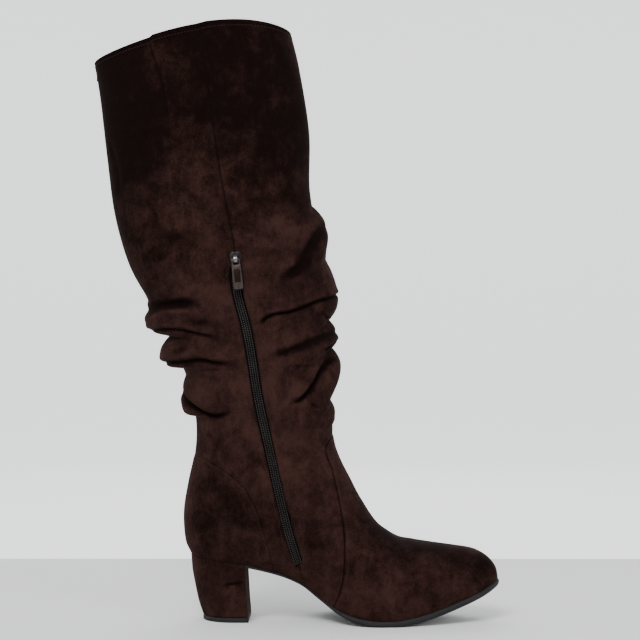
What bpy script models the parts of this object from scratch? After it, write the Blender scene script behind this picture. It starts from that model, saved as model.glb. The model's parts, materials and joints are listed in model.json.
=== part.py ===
"""Slouch boot for the left foot: a hollow suede upper with slumped folds, an insole,
a thin outsole, a covered block heel with its top lift, and a zip on the inner side.

Metres, +Z up. The origin is the middle of the heel lift's floor face. +X points to the
toe, -Y is the inner (medial) side and +Y the outer (lateral) side.
"""

import math
from collections import namedtuple

import bmesh
import bpy
import numpy as np
from mathutils import Matrix, Vector

NAME = "slouch_boot"

# Foot: lengths along the floor and heights above it
FOOT_LENGTH = 0.250
BALL_WIDTH = 0.086
INSTEP_HEIGHT = 0.086
HEEL_PITCH = 0.049
TOE_SPRING = 0.029

# Shaft, from the seat's back edge to the collar
SHAFT_HEIGHT = 0.400
SHAFT_LEAN = 0.080
ANKLE_DEPTH = 0.108
ANKLE_WIDTH = 0.075
COLLAR_DEPTH = 0.1615
COLLAR_WIDTH = 0.083
COLLAR_PEAK = 0.0050
WALL = 0.0018

# Folds and seams of the upper
FOLD_DEPTH = 0.010
LAP = 0.0008
LAP_RUN = 0.003
LAP_FADE = 0.1

# Sole, insole and heel
SOLE_FOREFOOT = 0.005
SOLE_WAIST = 0.002
SOLE_LEDGE = 0.0012
SOLE_FLAT = 0.0004
INSOLE = 0.0025
HEEL_BREAST = 0.0162
HEEL_LIFT_LENGTH = 0.038
HEEL_LIFT_WIDTH = 0.044
HEEL_LIFT = 0.0037

# Zip
ZIP_SLOT = 0.0074
ZIP_TAPE_WIDTH = 0.020
ZIP_TAPE = 0.0009
ZIP_BOTTOM = 0.050
ZIP_TOP = 0.284
SLIDER_MIDDLE = 0.2895
SLIDER_LENGTH = 0.0135
SLIDER_WIDTH = 0.0092
SLIDER_THICKNESS = 0.0024
BRIDGE_WIDTH = 0.0036
BRIDGE_LENGTH = 0.0054
BRIDGE_HEIGHT = 0.0043
TUNNEL_HEIGHT = 0.0019
TUNNEL_RADIUS = 0.0014
PULL_LENGTH = 0.0220
PULL_WIDTH = 0.0074
PULL_THICKNESS = 0.0013
PULL_BAR = 0.0014

# Clearances
GAP = 0.0003
TAPE_GAP = 0.0005
PULL_CLEARANCE = 0.0005

MERGE = 0.00002

MEDIAL = -1.0
LATERAL = 1.0
BREAST_SHARE = 0.181
SEAT_BACK = HEEL_PITCH + SOLE_FOREFOOT
HEEL_BACK_X = HEEL_BREAST - BREAST_SHARE * FOOT_LENGTH

# Seat and feather line, toe ward: along in foot lengths, pitch in heel pitches,
# spring in toe springs, widths in ball widths
SeatRow = namedtuple("SeatRow", "along pitch spring medial lateral tread")
SEAT = (
    SeatRow(0.00, 1.000, 0.000, 0.290, 0.290, 0.0),
    SeatRow(0.10, 0.920, 0.000, 0.312, 0.317, 0.0),
    SeatRow(0.19, 0.848, 0.000, 0.310, 0.325, 0.0),
    SeatRow(0.25, 0.775, 0.000, 0.285, 0.315, 0.0),
    SeatRow(0.31, 0.675, 0.000, 0.250, 0.330, 0.0),
    SeatRow(0.36, 0.555, 0.000, 0.250, 0.355, 0.0),
    SeatRow(0.42, 0.335, 0.000, 0.305, 0.400, 0.1),
    SeatRow(0.48, 0.145, 0.000, 0.385, 0.455, 0.5),
    SeatRow(0.54, 0.042, 0.000, 0.455, 0.495, 0.9),
    SeatRow(0.588, 0.006, 0.000, 0.485, 0.512, 1.0),
    SeatRow(0.668, 0.000, 0.006, 0.480, 0.480, 1.0),
    SeatRow(0.74, 0.000, 0.120, 0.440, 0.410, 1.0),
    SeatRow(0.82, 0.000, 0.325, 0.370, 0.315, 1.0),
    SeatRow(0.90, 0.000, 0.585, 0.290, 0.232, 1.0),
    SeatRow(0.96, 0.000, 0.810, 0.240, 0.190, 1.0),
    SeatRow(1.00, 0.000, 1.000, 0.210, 0.165, 1.0),
)
HEEL_ROUND = 0.11
TOE_ROUND = 0.10

# Sections that stand on the feather line, tip to heel: reach and rise lead from the
# feather to the ridge of the foot, in foot lengths and instep heights
FootRow = namedtuple("FootRow", "along reach rise medial lateral widest top swing steps")
FOOT = (
    FootRow(1.000, 0.000, 0.000, 0.000, 0.000, 0.45, 2.0, -0.046, 2),
    FootRow(0.990, 0.002, 0.116, 0.105, 0.084, 0.42, 2.1, -0.046, 1),
    FootRow(0.965, 0.001, 0.250, 0.186, 0.149, 0.40, 2.3, -0.042, 1),
    FootRow(0.920, 0.004, 0.377, 0.267, 0.215, 0.38, 2.4, -0.035, 2),
    FootRow(0.850, 0.014, 0.488, 0.360, 0.308, 0.36, 2.4, -0.023, 2),
    FootRow(0.756, 0.040, 0.599, 0.453, 0.430, 0.34, 2.4, -0.007, 2),
    FootRow(0.668, 0.071, 0.672, 0.500, 0.512, 0.33, 2.4, 0.0, 2),
    FootRow(0.588, 0.093, 0.702, 0.506, 0.535, 0.34, 2.3, 0.0, 2),
    FootRow(0.510, 0.122, 0.738, 0.477, 0.523, 0.36, 2.2, 0.0, 2),
    FootRow(0.430, 0.160, 0.735, 0.436, 0.483, 0.40, 2.1, 0.0, 2),
    FootRow(0.340, 0.210, 0.742, 0.407, 0.448, 0.42, 2.0, 0.0, 2),
    FootRow(0.250, 0.264, 0.849, 0.401, 0.424, 0.44, 2.0, 0.0, 1),
    FootRow(0.181, 0.310, 0.931, 0.407, 0.424, 0.45, 2.0, 0.0, 2),
    FootRow(0.110, 0.362, 1.035, 0.419, 0.430, 0.46, 2.0, 0.0, 2),
    FootRow(0.035, 0.428, 1.122, 0.424, 0.436, 0.47, 2.0, 0.0, 2),
)

# Sections of the shaft, seat to collar: height in shaft heights, lean in shaft leans,
# depth and width from the ankle's (0) to the collar's (1), rise in instep heights
ShaftRow = namedtuple("ShaftRow", "height lean depth rise width steps")
SHAFT = (
    ShaftRow(0.000, 0.000, 0.136, 1.210, 0.00, 2),
    ShaftRow(0.030, 0.052, 0.190, 1.151, 0.00, 2),
    ShaftRow(0.085, 0.068, 0.190, 0.988, 0.12, 2),
    ShaftRow(0.145, 0.022, 0.108, 0.814, 0.25, 3),
    ShaftRow(0.202, -0.038, 0.020, 0.674, 0.38, 3),
    ShaftRow(0.260, -0.052, 0.000, 0.581, 0.50, 4),
    ShaftRow(0.328, 0.000, 0.065, 0.430, 0.75, 4),
    ShaftRow(0.390, 0.112, 0.210, 0.326, 1.00, 5),
    ShaftRow(0.455, 0.250, 0.467, 0.256, 1.12, 4),
    ShaftRow(0.520, 0.455, 0.745, 0.233, 1.25, 4),
    ShaftRow(0.590, 0.645, 0.905, 0.210, 1.25, 5),
    ShaftRow(0.690, 0.788, 0.975, 0.233, 1.25, 3),
    ShaftRow(0.802, 0.865, 1.080, 0.267, 1.25, 3),
    ShaftRow(0.928, 0.940, 1.040, 0.290, 1.12, 2),
    ShaftRow(1.000, 1.000, 1.000, 0.290, 1.00, 0),
)
SHAFT_WIDEST = 0.49
SHAFT_TOP = 2.1

# Slumped folds: centre 1 is the front and 0 the back; reach is how far round each side
# it goes; top and bottom edges in shaft heights above the seat; slope is the drop of the
# fold from its centre to the end of a half girth, in shaft heights; out and droop in fold depths;
# peak is the share of the way down where it stands out most
FoldRow = namedtuple("FoldRow", "centre medial lateral top bottom slope out droop peak")
FOLDS = (
    FoldRow(1.0, 0.45, 0.75, 0.708, 0.618, 0.25, 0.95, 0.30, 0.45),
    FoldRow(1.0, 0.50, 0.80, 0.640, 0.478, 0.14, 0.75, 0.45, 0.68),
    FoldRow(1.0, 0.50, 0.80, 0.480, 0.425, 0.15, 1.05, 0.40, 0.58),
    FoldRow(1.0, 0.42, 0.85, 0.425, 0.315, 0.22, 1.15, 0.40, 0.45),
    FoldRow(1.0, 0.35, 0.70, 0.318, 0.262, 0.10, 0.55, 0.20, 0.55),
    FoldRow(0.0, 0.42, 0.75, 0.522, 0.452, 0.05, 1.30, 0.40, 0.68),
    FoldRow(0.0, 0.45, 0.70, 0.445, 0.382, 0.02, 1.45, 0.40, 0.60),
    FoldRow(0.0, 0.40, 0.65, 0.345, 0.268, 0.04, 0.95, 0.35, 0.60),
)
ZIP_CALM = 0.07
PEAK_ROWS = 1.5
PEAK_FORWARD = 1.3

# Side views of the seams, top to bottom: height in shaft heights above the seat, forward
# in foot lengths from the heel breast. The zip lies in the first, the vamp is raised in
# front of the second and the heel counter behind the third.
SeamRow = namedtuple("SeamRow", "height forward")
ZIP_SEAM = (
    SeamRow(1.05, -0.139),
    SeamRow(0.93, -0.113),
    SeamRow(0.80, -0.085),
    SeamRow(0.70, -0.057),
    SeamRow(0.61, -0.029),
    SeamRow(0.52, -0.019),
    SeamRow(0.46, 0.006),
    SeamRow(0.31, 0.047),
    SeamRow(0.21, 0.082),
    SeamRow(0.11, 0.117),
    SeamRow(0.03, 0.149),
    SeamRow(-0.01, 0.169),
    SeamRow(-0.06, 0.194),
)
VAMP_SEAM = (
    SeamRow(0.248, 0.294),
    SeamRow(0.214, 0.259),
    SeamRow(0.173, 0.278),
    SeamRow(0.113, 0.300),
    SeamRow(0.054, 0.316),
    SeamRow(-0.006, 0.319),
    SeamRow(-0.065, 0.306),
    SeamRow(-0.100, 0.284),
)
COUNTER_SEAM = (
    SeamRow(0.200, -0.149),
    SeamRow(0.180, -0.085),
    SeamRow(0.152, -0.021),
    SeamRow(0.112, 0.026),
    SeamRow(0.043, 0.065),
    SeamRow(-0.020, 0.090),
)

# Columns of the wall's mesh on each side
COLUMNS_BEHIND_ZIP = 5
COLUMNS_BEFORE_ZIP = 7
COLUMNS_LATERAL = 14
WIDEST_AT = 0.45
LOWEST_ZIP_COLUMN = 0.13

# Heel block: share of the way down, and share of the way from the seat's outline to the lift's
HeelRow = namedtuple("HeelRow", "down inward")
HEEL_TAPER = (
    HeelRow(0.00, 0.00),
    HeelRow(0.27, 0.12),
    HeelRow(0.55, 0.38),
    HeelRow(0.80, 0.66),
    HeelRow(1.00, 1.00),
)


def curve(keys, values, at):
    """Smooth curve through a table's rows, with each slope from the neighbouring rows."""
    keys = np.asarray(keys, float)
    values = np.asarray(values, float)
    slopes = np.gradient(values, keys)
    at = np.clip(at, keys[0], keys[-1])
    row = np.clip(np.searchsorted(keys, at, side="right") - 1, 0, len(keys) - 2)
    step = keys[row + 1] - keys[row]
    t = (at - keys[row]) / step
    start = (1 + 2 * t) * (1 - t) ** 2 * values[row] + t * (1 - t) ** 2 * step * slopes[row]
    end = t * t * (3 - 2 * t) * values[row + 1] + t * t * (t - 1) * step * slopes[row + 1]
    return start + end


def column(table, name):
    """One named column of a table, as an array."""
    return np.array([getattr(row, name) for row in table], float)


def seat_column(name, along):
    """A column of the seat table at shares of the foot's length."""
    return curve(column(SEAT, "along"), column(SEAT, name), along)


def seat_x(along):
    """Distance along the floor of a share of the foot's length."""
    return HEEL_BACK_X + np.asarray(along, float) * FOOT_LENGTH


def seat_z(along):
    """Height of the feather line, which is the underside of upper and insole."""
    pitch = seat_column("pitch", along) * HEEL_PITCH
    spring = seat_column("spring", along) * TOE_SPRING
    return SOLE_FOREFOOT + np.maximum(pitch, 0) + np.maximum(spring, 0)


def feather_width(along, side):
    """Half width of the feather line on one side, closed round at heel and toe."""
    name = "medial" if side == MEDIAL else "lateral"
    width = seat_column(name, along) * BALL_WIDTH
    heel = np.clip(1 - np.asarray(along, float) / HEEL_ROUND, 0, 1)
    toe = np.clip((np.asarray(along, float) - 1 + TOE_ROUND) / TOE_ROUND, 0, 1)
    return width * np.sqrt(np.clip(1 - heel ** 2, 0, 1)) * np.sqrt(np.clip(1 - toe ** 2, 0, 1))


def swing(along):
    """Sideways place of the foot's ridge, which leans to the inner side at the toe."""
    return curve(column(FOOT, "along")[::-1], column(FOOT, "swing")[::-1], along) * BALL_WIDTH


HEEL_ROW = len(FOOT)
COLLAR_ROW = HEEL_ROW + len(SHAFT) - 1


def blend(at, foot_values, shaft_values):
    """Smooth curve over the section number through foot rows and then shaft rows."""
    values = np.concatenate([foot_values, shaft_values])
    return curve(np.arange(len(values)), values, at)


def section(at):
    """Everything that shapes the sections at the numbers in at, as a dictionary of arrays."""
    along = blend(np.minimum(at, HEEL_ROW), column(FOOT, "along"), [0.0])
    along = np.clip(along, 0, 1)
    on_shaft = np.clip(at - HEEL_ROW, 0, len(SHAFT) - 1)
    height = curve(np.arange(len(SHAFT)), column(SHAFT, "height"), on_shaft) * SHAFT_HEIGHT
    lean = curve(np.arange(len(SHAFT)), column(SHAFT, "lean"), on_shaft) * SHAFT_LEAN
    depth = ANKLE_DEPTH + column(SHAFT, "depth") * (COLLAR_DEPTH - ANKLE_DEPTH)
    half = (ANKLE_WIDTH + column(SHAFT, "width") * (COLLAR_WIDTH - ANKLE_WIDTH)) / 2
    ones = np.ones(len(SHAFT))
    rise_foot = column(FOOT, "rise") * INSTEP_HEIGHT
    rise_shaft = column(SHAFT, "rise") * INSTEP_HEIGHT
    swings = column(FOOT, "swing") * BALL_WIDTH
    return {
        "x": seat_x(along) - lean,
        "z": seat_z(along) + height,
        "reach": blend(at, column(FOOT, "reach") * FOOT_LENGTH, depth),
        "rise": blend(at, rise_foot, rise_shaft),
        "medial": blend(at, column(FOOT, "medial") * BALL_WIDTH, half),
        "lateral": blend(at, column(FOOT, "lateral") * BALL_WIDTH, half),
        "widest": blend(at, column(FOOT, "widest"), SHAFT_WIDEST * ones),
        "top": blend(at, column(FOOT, "top"), SHAFT_TOP * ones),
        "swing": blend(at, swings, 0 * ones),
        "feather_medial": np.where(at < HEEL_ROW, feather_width(along, MEDIAL), 0),
        "feather_lateral": np.where(at < HEEL_ROW, feather_width(along, LATERAL), 0),
    }


def girth_point(at, side, girth):
    """Points of the unfolded upper, with the direction out of each section.

    girth runs from 0 at the feather line or back seam to 1 at the foot's ridge or front.
    """
    s = section(at)
    name = "medial" if side == MEDIAL else "lateral"
    feather = s["feather_" + name]
    half = np.maximum(s[name], feather + WALL / 10)
    half = np.where(at > 0, half, MERGE / 10)
    end = np.arccos(np.clip(feather / half, 0, 1))
    low = end * (1 - girth / WIDEST_AT)
    high = np.clip(math.pi / 2 * (girth - WIDEST_AT) / (1 - WIDEST_AT), 0, math.pi / 2)
    power = 2 / s["top"]
    below = girth < WIDEST_AT
    share_low = s["widest"] * (1 - np.sin(low) / np.sin(end))
    share_high = s["widest"] + (1 - s["widest"]) * np.sin(high) ** power
    share = np.where(below, share_low, share_high)
    across = np.where(below, np.cos(low), np.cos(high) ** power) * half
    point = np.stack([
        s["x"] + s["reach"] * share,
        s["swing"] + side * across,
        s["z"] + s["rise"] * share,
    ], axis=-1)
    length = np.maximum(np.hypot(s["reach"], s["rise"]), MERGE)
    out_along = np.where(below, -np.sin(low), np.sin(high))
    out_across = np.where(below, np.cos(low), np.cos(high))
    out = np.stack([
        out_along * s["reach"] / length,
        side * out_across,
        out_along * s["rise"] / length,
    ], axis=-1)
    return point, out


def shaft_share(point):
    """Height above the seat's back edge in shaft heights."""
    return (point[..., 2] - SEAT_BACK) / SHAFT_HEIGHT


def ahead_of(seam, point):
    """Distance of points ahead of a seam in the side view."""
    forward = curve(column(seam, "height")[::-1], column(seam, "forward")[::-1], shaft_share(point))
    return point[..., 0] - HEEL_BREAST - forward * FOOT_LENGTH


def lap_shift(point, out):
    """Raised wall of the vamp and the heel counter, with a short run at each seam."""
    height = shaft_share(point)
    low_enough = np.clip((VAMP_SEAM[0].height - height) * SHAFT_HEIGHT / LAP_RUN, 0, 1)
    vamp = np.clip(ahead_of(VAMP_SEAM, point) / LAP_RUN + 0.5, 0, 1) * low_enough
    under_top = np.clip((COUNTER_SEAM[0].height - height) * SHAFT_HEIGHT / LAP_RUN, 0, 1)
    counter = np.clip(0.5 - ahead_of(COUNTER_SEAM, point) / LAP_RUN, 0, 1) * under_top
    return out * (np.maximum(vamp, counter) * LAP)[..., None]


def collar_shift(at, point):
    """Rise of the collar's edge at the sides of the shaft."""
    s = section(at)
    share = np.clip((point[..., 0] - s["x"]) / np.maximum(s["reach"], MERGE), 0, 1)
    near = np.clip((at - COLLAR_ROW + PEAK_ROWS) / PEAK_ROWS, 0, 1) ** 2
    return COLLAR_PEAK * near * np.sin(math.pi * share ** PEAK_FORWARD)


def seam_girth(at):
    """Girth at which the medial side crosses the zip's seam, for each section in at."""
    low = np.full(np.shape(at), 0.02)
    high = np.full(np.shape(at), 0.98)
    for _ in range(26):
        middle = (low + high) / 2
        point, _ = girth_point(at, MEDIAL, middle)
        ahead = ahead_of(ZIP_SEAM, point) > 0
        high = np.where(ahead, middle, high)
        low = np.where(ahead, low, middle)
    return np.maximum((low + high) / 2, LOWEST_ZIP_COLUMN)


def fold_shift(point, out, side, girth, calm):
    """Displacement of the slumped folds at unfolded points."""
    height = shaft_share(point)
    shift = np.zeros_like(point)
    for fold in FOLDS:
        reach = fold.medial if side == MEDIAL else fold.lateral
        away = np.abs(girth - fold.centre)
        top = fold.top - fold.slope * away
        down = np.clip((top - height) / (fold.top - fold.bottom), 0, 1)
        power = math.log(0.5) / math.log(fold.peak)
        bulge = np.sin(math.pi * down ** power) ** 1.3
        round_side = np.cos(math.pi / 2 * np.clip(away / reach, 0, 1)) ** 2
        amount = bulge * round_side * calm * FOLD_DEPTH
        shift += out * (fold.out * amount)[..., None]
        shift[..., 2] -= fold.droop * amount
    return shift


def upper_point(at, side, girth, zip_girth):
    """Points of the finished outer face of the upper."""
    point, out = girth_point(at, side, girth)
    calm = 1.0
    if side == MEDIAL:
        calm = 1 - np.exp(-((girth - zip_girth) / ZIP_CALM) ** 2)
    off_feather = np.clip(girth / LAP_FADE + np.clip(at - HEEL_ROW, 0, 1), 0, 1)
    laps = lap_shift(point, out) * (off_feather * np.clip(at, 0, 1))[..., None]
    shift = fold_shift(point, out, side, girth, calm) + laps
    shift[..., 2] += collar_shift(at, point)
    return point + shift


def row_numbers():
    """Section numbers of the mesh rows, toe tip to collar."""
    rows = []
    for number, steps in enumerate([row.steps for row in FOOT + SHAFT]):
        rows += [number + step / steps for step in range(steps)]
    return np.array(rows + [COLLAR_ROW], float)


def zip_columns(at, offsets):
    """Girths at distances across the zip's seam, ahead of it where positive."""
    middle = seam_girth(at)
    small = 0.01
    ahead, _ = girth_point(at, MEDIAL, middle + small)
    behind, _ = girth_point(at, MEDIAL, middle - small)
    per_girth = np.linalg.norm(ahead - behind, axis=-1) / (2 * small)
    return middle[:, None] + np.asarray(offsets, float)[None, :] / per_girth[:, None]


def material(name, colour, roughness, metallic=0.0):
    """A Principled material named for its node."""
    made = bpy.data.materials.new(name)
    made.use_nodes = True
    shader = made.node_tree.nodes["Principled BSDF"]
    shader.inputs["Base Color"].default_value = (*colour, 1.0)
    shader.inputs["Roughness"].default_value = roughness
    shader.inputs["Metallic"].default_value = metallic
    return made


SUEDE = (0.030, 0.016, 0.012)
SOLE_GREY = (0.045, 0.045, 0.048)
LINING = (0.060, 0.045, 0.038)
TAPE_BLACK = (0.012, 0.011, 0.011)
GUNMETAL = (0.30, 0.30, 0.31)
TAB_METAL = (0.12, 0.09, 0.085)


def add_object(collection, name, mesh, colour, roughness, metallic=0.0):
    """Link a mesh as one named piece with its own material."""
    mesh.materials.append(material(name, colour, roughness, metallic))
    made = bpy.data.objects.new(name, mesh)
    collection.objects.link(made)
    return made


def mesh_from(made, name):
    """Finish a bmesh: faces out, triangles, mesh datablock."""
    bmesh.ops.recalc_face_normals(made, faces=made.faces)
    mesh = bpy.data.meshes.new(name)
    made.to_mesh(mesh)
    made.free()
    return mesh


def loft(made, rows):
    """Quads between equal rows of points. Returns the vertices, row by row."""
    verts = [[made.verts.new(point) for point in row] for row in rows]
    for low, high in zip(verts, verts[1:]):
        for k in range(len(low) - 1):
            made.faces.new((low[k], low[k + 1], high[k + 1], high[k]))
    return verts


def zip_rows():
    """Section numbers of the mesh rows, with the first and last row of the zip's slot."""
    at = row_numbers()
    seam = seam_girth(at)
    height = upper_point(at, MEDIAL, seam, seam)[:, 2]
    inside = np.flatnonzero((height > ZIP_BOTTOM) & (height < ZIP_TOP) & (at > HEEL_ROW / 2))
    return at, inside[0], inside[-1]


def medial_girths(at):
    """Girths of the medial columns, which follow the tape's and the slot's edges."""
    tape = ZIP_TAPE_WIDTH / 2
    slot = ZIP_SLOT / 2
    middle = seam_girth(at)[:, None]
    room = np.array([0.75, 0.30, 0.30, 0.75]) * middle
    edges = middle + np.clip(zip_columns(at, [-tape, -slot, slot, tape]) - middle, -room, room)
    behind = np.linspace(0, 1, COLUMNS_BEHIND_ZIP + 1)
    before = np.linspace(0, 1, COLUMNS_BEFORE_ZIP + 1)
    girths = [edges[:, 0] * share for share in behind]
    girths += [edges[:, 1], edges[:, 2]]
    girths += [edges[:, 3] + (1 - edges[:, 3]) * share for share in before]
    return girths


def make_upper(collection):
    """The hollow wall: a loft round the foot and shaft, thickened to the inside."""
    at, first, last = zip_rows()
    seam = seam_girth(at)
    lateral = np.linspace(1, 0, COLUMNS_LATERAL + 1)[1:]
    columns = [upper_point(at, MEDIAL, girth, seam) for girth in medial_girths(at)]
    columns += [upper_point(at, LATERAL, np.full(len(at), girth), seam) for girth in lateral]
    grid = np.stack(columns, axis=1)
    made = bmesh.new()
    loft(made, grid)
    made.faces.ensure_lookup_table()
    width = grid.shape[1] - 1
    slot = [made.faces[row * width + COLUMNS_BEHIND_ZIP + 1] for row in range(first, last)]
    bmesh.ops.delete(made, geom=slot, context="FACES")
    bmesh.ops.remove_doubles(made, verts=made.verts, dist=MERGE)
    upper = add_object(collection, "upper", mesh_from(made, "upper"), SUEDE, 0.9)
    wall = upper.modifiers.new("wall", "SOLIDIFY")
    wall.thickness = WALL
    wall.offset = -1.0
    wall.use_even_offset = False
    return upper


def wall_frame(at, girth, seam):
    """Points of the medial wall's outer face, with the unit normals out of it."""
    small = 0.004
    point = upper_point(at, MEDIAL, girth, seam)
    up = upper_point(at + small, MEDIAL, girth, seam) - upper_point(at - small, MEDIAL, girth, seam)
    ahead = upper_point(at, MEDIAL, girth + small, seam) - upper_point(at, MEDIAL, girth - small, seam)
    normal = np.cross(ahead, up)
    normal /= np.linalg.norm(normal, axis=-1)[..., None]
    return point, np.where(normal[..., 1:2] > 0, -normal, normal)


def zip_strip(made, at, offsets, shallow, deep):
    """A band that follows the zip's seam between two depths under the outer face."""
    seam = seam_girth(at)
    girths = zip_columns(at, offsets)
    outer = []
    inner = []
    for k in range(len(offsets)):
        point, normal = wall_frame(at, girths[:, k], seam)
        outer.append(point - normal * shallow)
        inner.append(point - normal * deep)
    rings = np.stack(outer + inner[::-1] + outer[:1], axis=1)
    verts = loft(made, rings)
    for end in (verts[0], verts[-1]):
        for k in range(len(offsets) - 1):
            made.faces.new((end[k], end[k + 1], end[-3 - k], end[-2 - k]))
    bmesh.ops.remove_doubles(made, verts=made.verts, dist=MERGE)


def make_zip_tape(collection):
    """The woven tape behind the slot, inside the wall."""
    at, first, last = zip_rows()
    half = ZIP_TAPE_WIDTH / 2 - GAP
    slot = ZIP_SLOT / 2
    made = bmesh.new()
    depth = WALL + TAPE_GAP
    zip_strip(made, at[first - 1:last + 2], [-half, -slot, slot, half], depth, depth + ZIP_TAPE)
    return add_object(collection, "zip_tape", mesh_from(made, "zip_tape"), TAPE_BLACK, 0.9)


def make_zip_chain(collection):
    """The closed coils, one flat bar that fills the slot."""
    at, first, last = zip_rows()
    rows = at[first:last + 1].copy()
    rows[0] += 0.1 * (rows[1] - rows[0])
    rows[-1] -= 0.1 * (rows[-1] - rows[-2])
    half = ZIP_SLOT / 2 - GAP
    made = bmesh.new()
    zip_strip(made, rows, [-half, half], GAP, WALL)
    return add_object(collection, "zip_chain", mesh_from(made, "zip_chain"), TAPE_BLACK, 0.6)


def slider_frame():
    """World matrix of the slider: X across the zip, Y up along it, Z out of the wall.

    The origin is on the zip's line, where the slider's underside clears the wall.
    """
    at = np.linspace(HEEL_ROW, COLLAR_ROW, 2000)
    seam = seam_girth(at)
    height = upper_point(at, MEDIAL, seam, seam)[:, 2]
    middle = np.interp(SLIDER_MIDDLE, height, at)
    here = np.array([middle])
    point, normal = wall_frame(here, seam_girth(here), seam_girth(here))
    near = np.interp(SLIDER_MIDDLE + SLIDER_LENGTH / 2 * np.array([-1.0, 1.0]), height, at)
    ends = upper_point(near, MEDIAL, seam_girth(near), seam_girth(near))
    out = Vector(normal[0])
    up = Vector(ends[1] - ends[0]).normalized()
    out = (out - up * out.dot(up)).normalized()
    across = up.cross(out)
    centre = Vector(point[0])
    girths = zip_columns(near, [-SLIDER_WIDTH / 2, 0, SLIDER_WIDTH / 2])
    corners = [upper_point(near, MEDIAL, girths[:, k], seam_girth(near)) for k in range(3)]
    proud = max((Vector(p) - centre).dot(out) for rows in corners for p in rows)
    origin = centre + out * (max(proud, 0) + GAP)
    return Matrix.Translation(origin) @ Matrix((across, up, out)).transposed().to_4x4()


def box(made, size, centre):
    """An upright box in a bmesh. Returns its vertices."""
    at = Matrix.Translation(centre) @ Matrix.Diagonal((*size, 1.0))
    return bmesh.ops.create_cube(made, size=1.0, matrix=at)["verts"]


def round_corners(made, verts, radius, axis):
    """Round the edges of a box that run along one axis."""
    edges = {edge for vert in verts for edge in vert.link_edges}
    along = [e for e in edges if abs((e.verts[0].co - e.verts[1].co).normalized()[axis]) > 0.9]
    bmesh.ops.bevel(made, geom=along, offset=radius, segments=3, profile=0.5, affect="EDGES")


def cutter(collection, name, made):
    """A hidden cutting body."""
    body = bpy.data.objects.new(name, mesh_from(made, name))
    body.hide_render = True
    body.display_type = "WIRE"
    collection.objects.link(body)
    return body


def boolean(piece, body, operation):
    """An exact Boolean modifier."""
    step = piece.modifiers.new(operation.lower(), "BOOLEAN")
    step.solver = "EXACT"
    step.operation = operation
    step.object = body


def make_zip_slider(collection, cutters):
    """The slider's body with the bridge that carries the pull tab."""
    frame = slider_frame()
    made = bmesh.new()
    verts = box(made, (SLIDER_WIDTH, SLIDER_LENGTH, SLIDER_THICKNESS), (0, 0, SLIDER_THICKNESS / 2))
    round_corners(made, verts, SLIDER_WIDTH * 0.3, 2)
    slider = add_object(collection, "zip_slider", mesh_from(made, "zip_slider"), GUNMETAL, 0.25, 1.0)
    slider.matrix_world = frame
    bridge = bmesh.new()
    overlap = SLIDER_THICKNESS / 2
    height = BRIDGE_HEIGHT + overlap
    verts = box(bridge, (BRIDGE_WIDTH, BRIDGE_LENGTH, height), (0, 0, overlap + height / 2))
    top = [v for v in verts if v.co.z > height]
    edges = [e for e in bridge.edges if all(v in top for v in e.verts)]
    across = [e for e in edges if abs(e.verts[0].co.y - e.verts[1].co.y) < MERGE]
    bmesh.ops.bevel(bridge, geom=across, offset=BRIDGE_LENGTH * 0.3, segments=3, profile=0.5, affect="EDGES")
    arch = cutter(cutters, "bridge_block", bridge)
    arch.matrix_world = frame
    hole = bmesh.new()
    turn = Matrix.Translation((0, 0, SLIDER_THICKNESS + TUNNEL_HEIGHT)) @ Matrix.Rotation(math.pi / 2, 4, "Y")
    bmesh.ops.create_cone(
        hole, cap_ends=True, segments=20, radius1=TUNNEL_RADIUS, radius2=TUNNEL_RADIUS,
        depth=2 * SLIDER_WIDTH, matrix=turn,
    )
    tunnel = cutter(cutters, "bridge_tunnel", hole)
    tunnel.matrix_world = frame
    boolean(slider, arch, "UNION")
    boolean(slider, tunnel, "DIFFERENCE")
    return slider


def make_zip_pull(collection, cutters):
    """The pull tab, hanging down the zip from the bridge; its origin is on the hinge."""
    hinge = slider_frame() @ Matrix.Translation((0, 0, SLIDER_THICKNESS + TUNNEL_HEIGHT))
    made = bmesh.new()
    middle = PULL_BAR / 2 - PULL_LENGTH / 2
    verts = box(made, (PULL_WIDTH, PULL_LENGTH, PULL_THICKNESS), (0, middle, 0))
    round_corners(made, verts, PULL_WIDTH * 0.16, 2)
    pull = add_object(collection, "zip_pull", mesh_from(made, "zip_pull"), TAB_METAL, 0.35, 1.0)
    pull.matrix_world = hinge
    sweep = math.hypot(BRIDGE_LENGTH / 2, BRIDGE_HEIGHT - TUNNEL_HEIGHT) + PULL_CLEARANCE
    eye_length = sweep - PULL_BAR / 2
    eye = bmesh.new()
    eye_size = (BRIDGE_WIDTH + 2 * PULL_CLEARANCE, eye_length, 4 * PULL_THICKNESS)
    box(eye, eye_size, (0, -PULL_BAR / 2 - eye_length / 2, 0))
    hole = cutter(cutters, "pull_eye", eye)
    hole.matrix_world = hinge
    boolean(pull, hole, "DIFFERENCE")
    return pull


def stations(first, last):
    """Shares of the foot's length at which the upper has mesh rows, between two shares."""
    rows = section(row_numbers())["x"][row_numbers() <= HEEL_ROW]
    along = np.round((rows[::-1] - HEEL_BACK_X) / FOOT_LENGTH, 9)
    inner = [share for share in along if first + 0.002 < share < last - 0.0005]
    return np.array([first] + inner + [last])


def outline(along, side, inset):
    """Plan points of the feather line moved inward by inset, on one side."""
    step = 0.0005
    low = np.clip(along - step, 0, 1)
    high = np.clip(along + step, 0, 1)
    x = seat_x(along)
    y = swing(along) + side * feather_width(along, side)
    dx = seat_x(high) - seat_x(low)
    dy = swing(high) - swing(low) + side * (feather_width(high, side) - feather_width(low, side))
    length = np.hypot(dx, dy)
    return np.stack([x + side * dy / length * inset, y - side * dx / length * inset], axis=-1)


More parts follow.
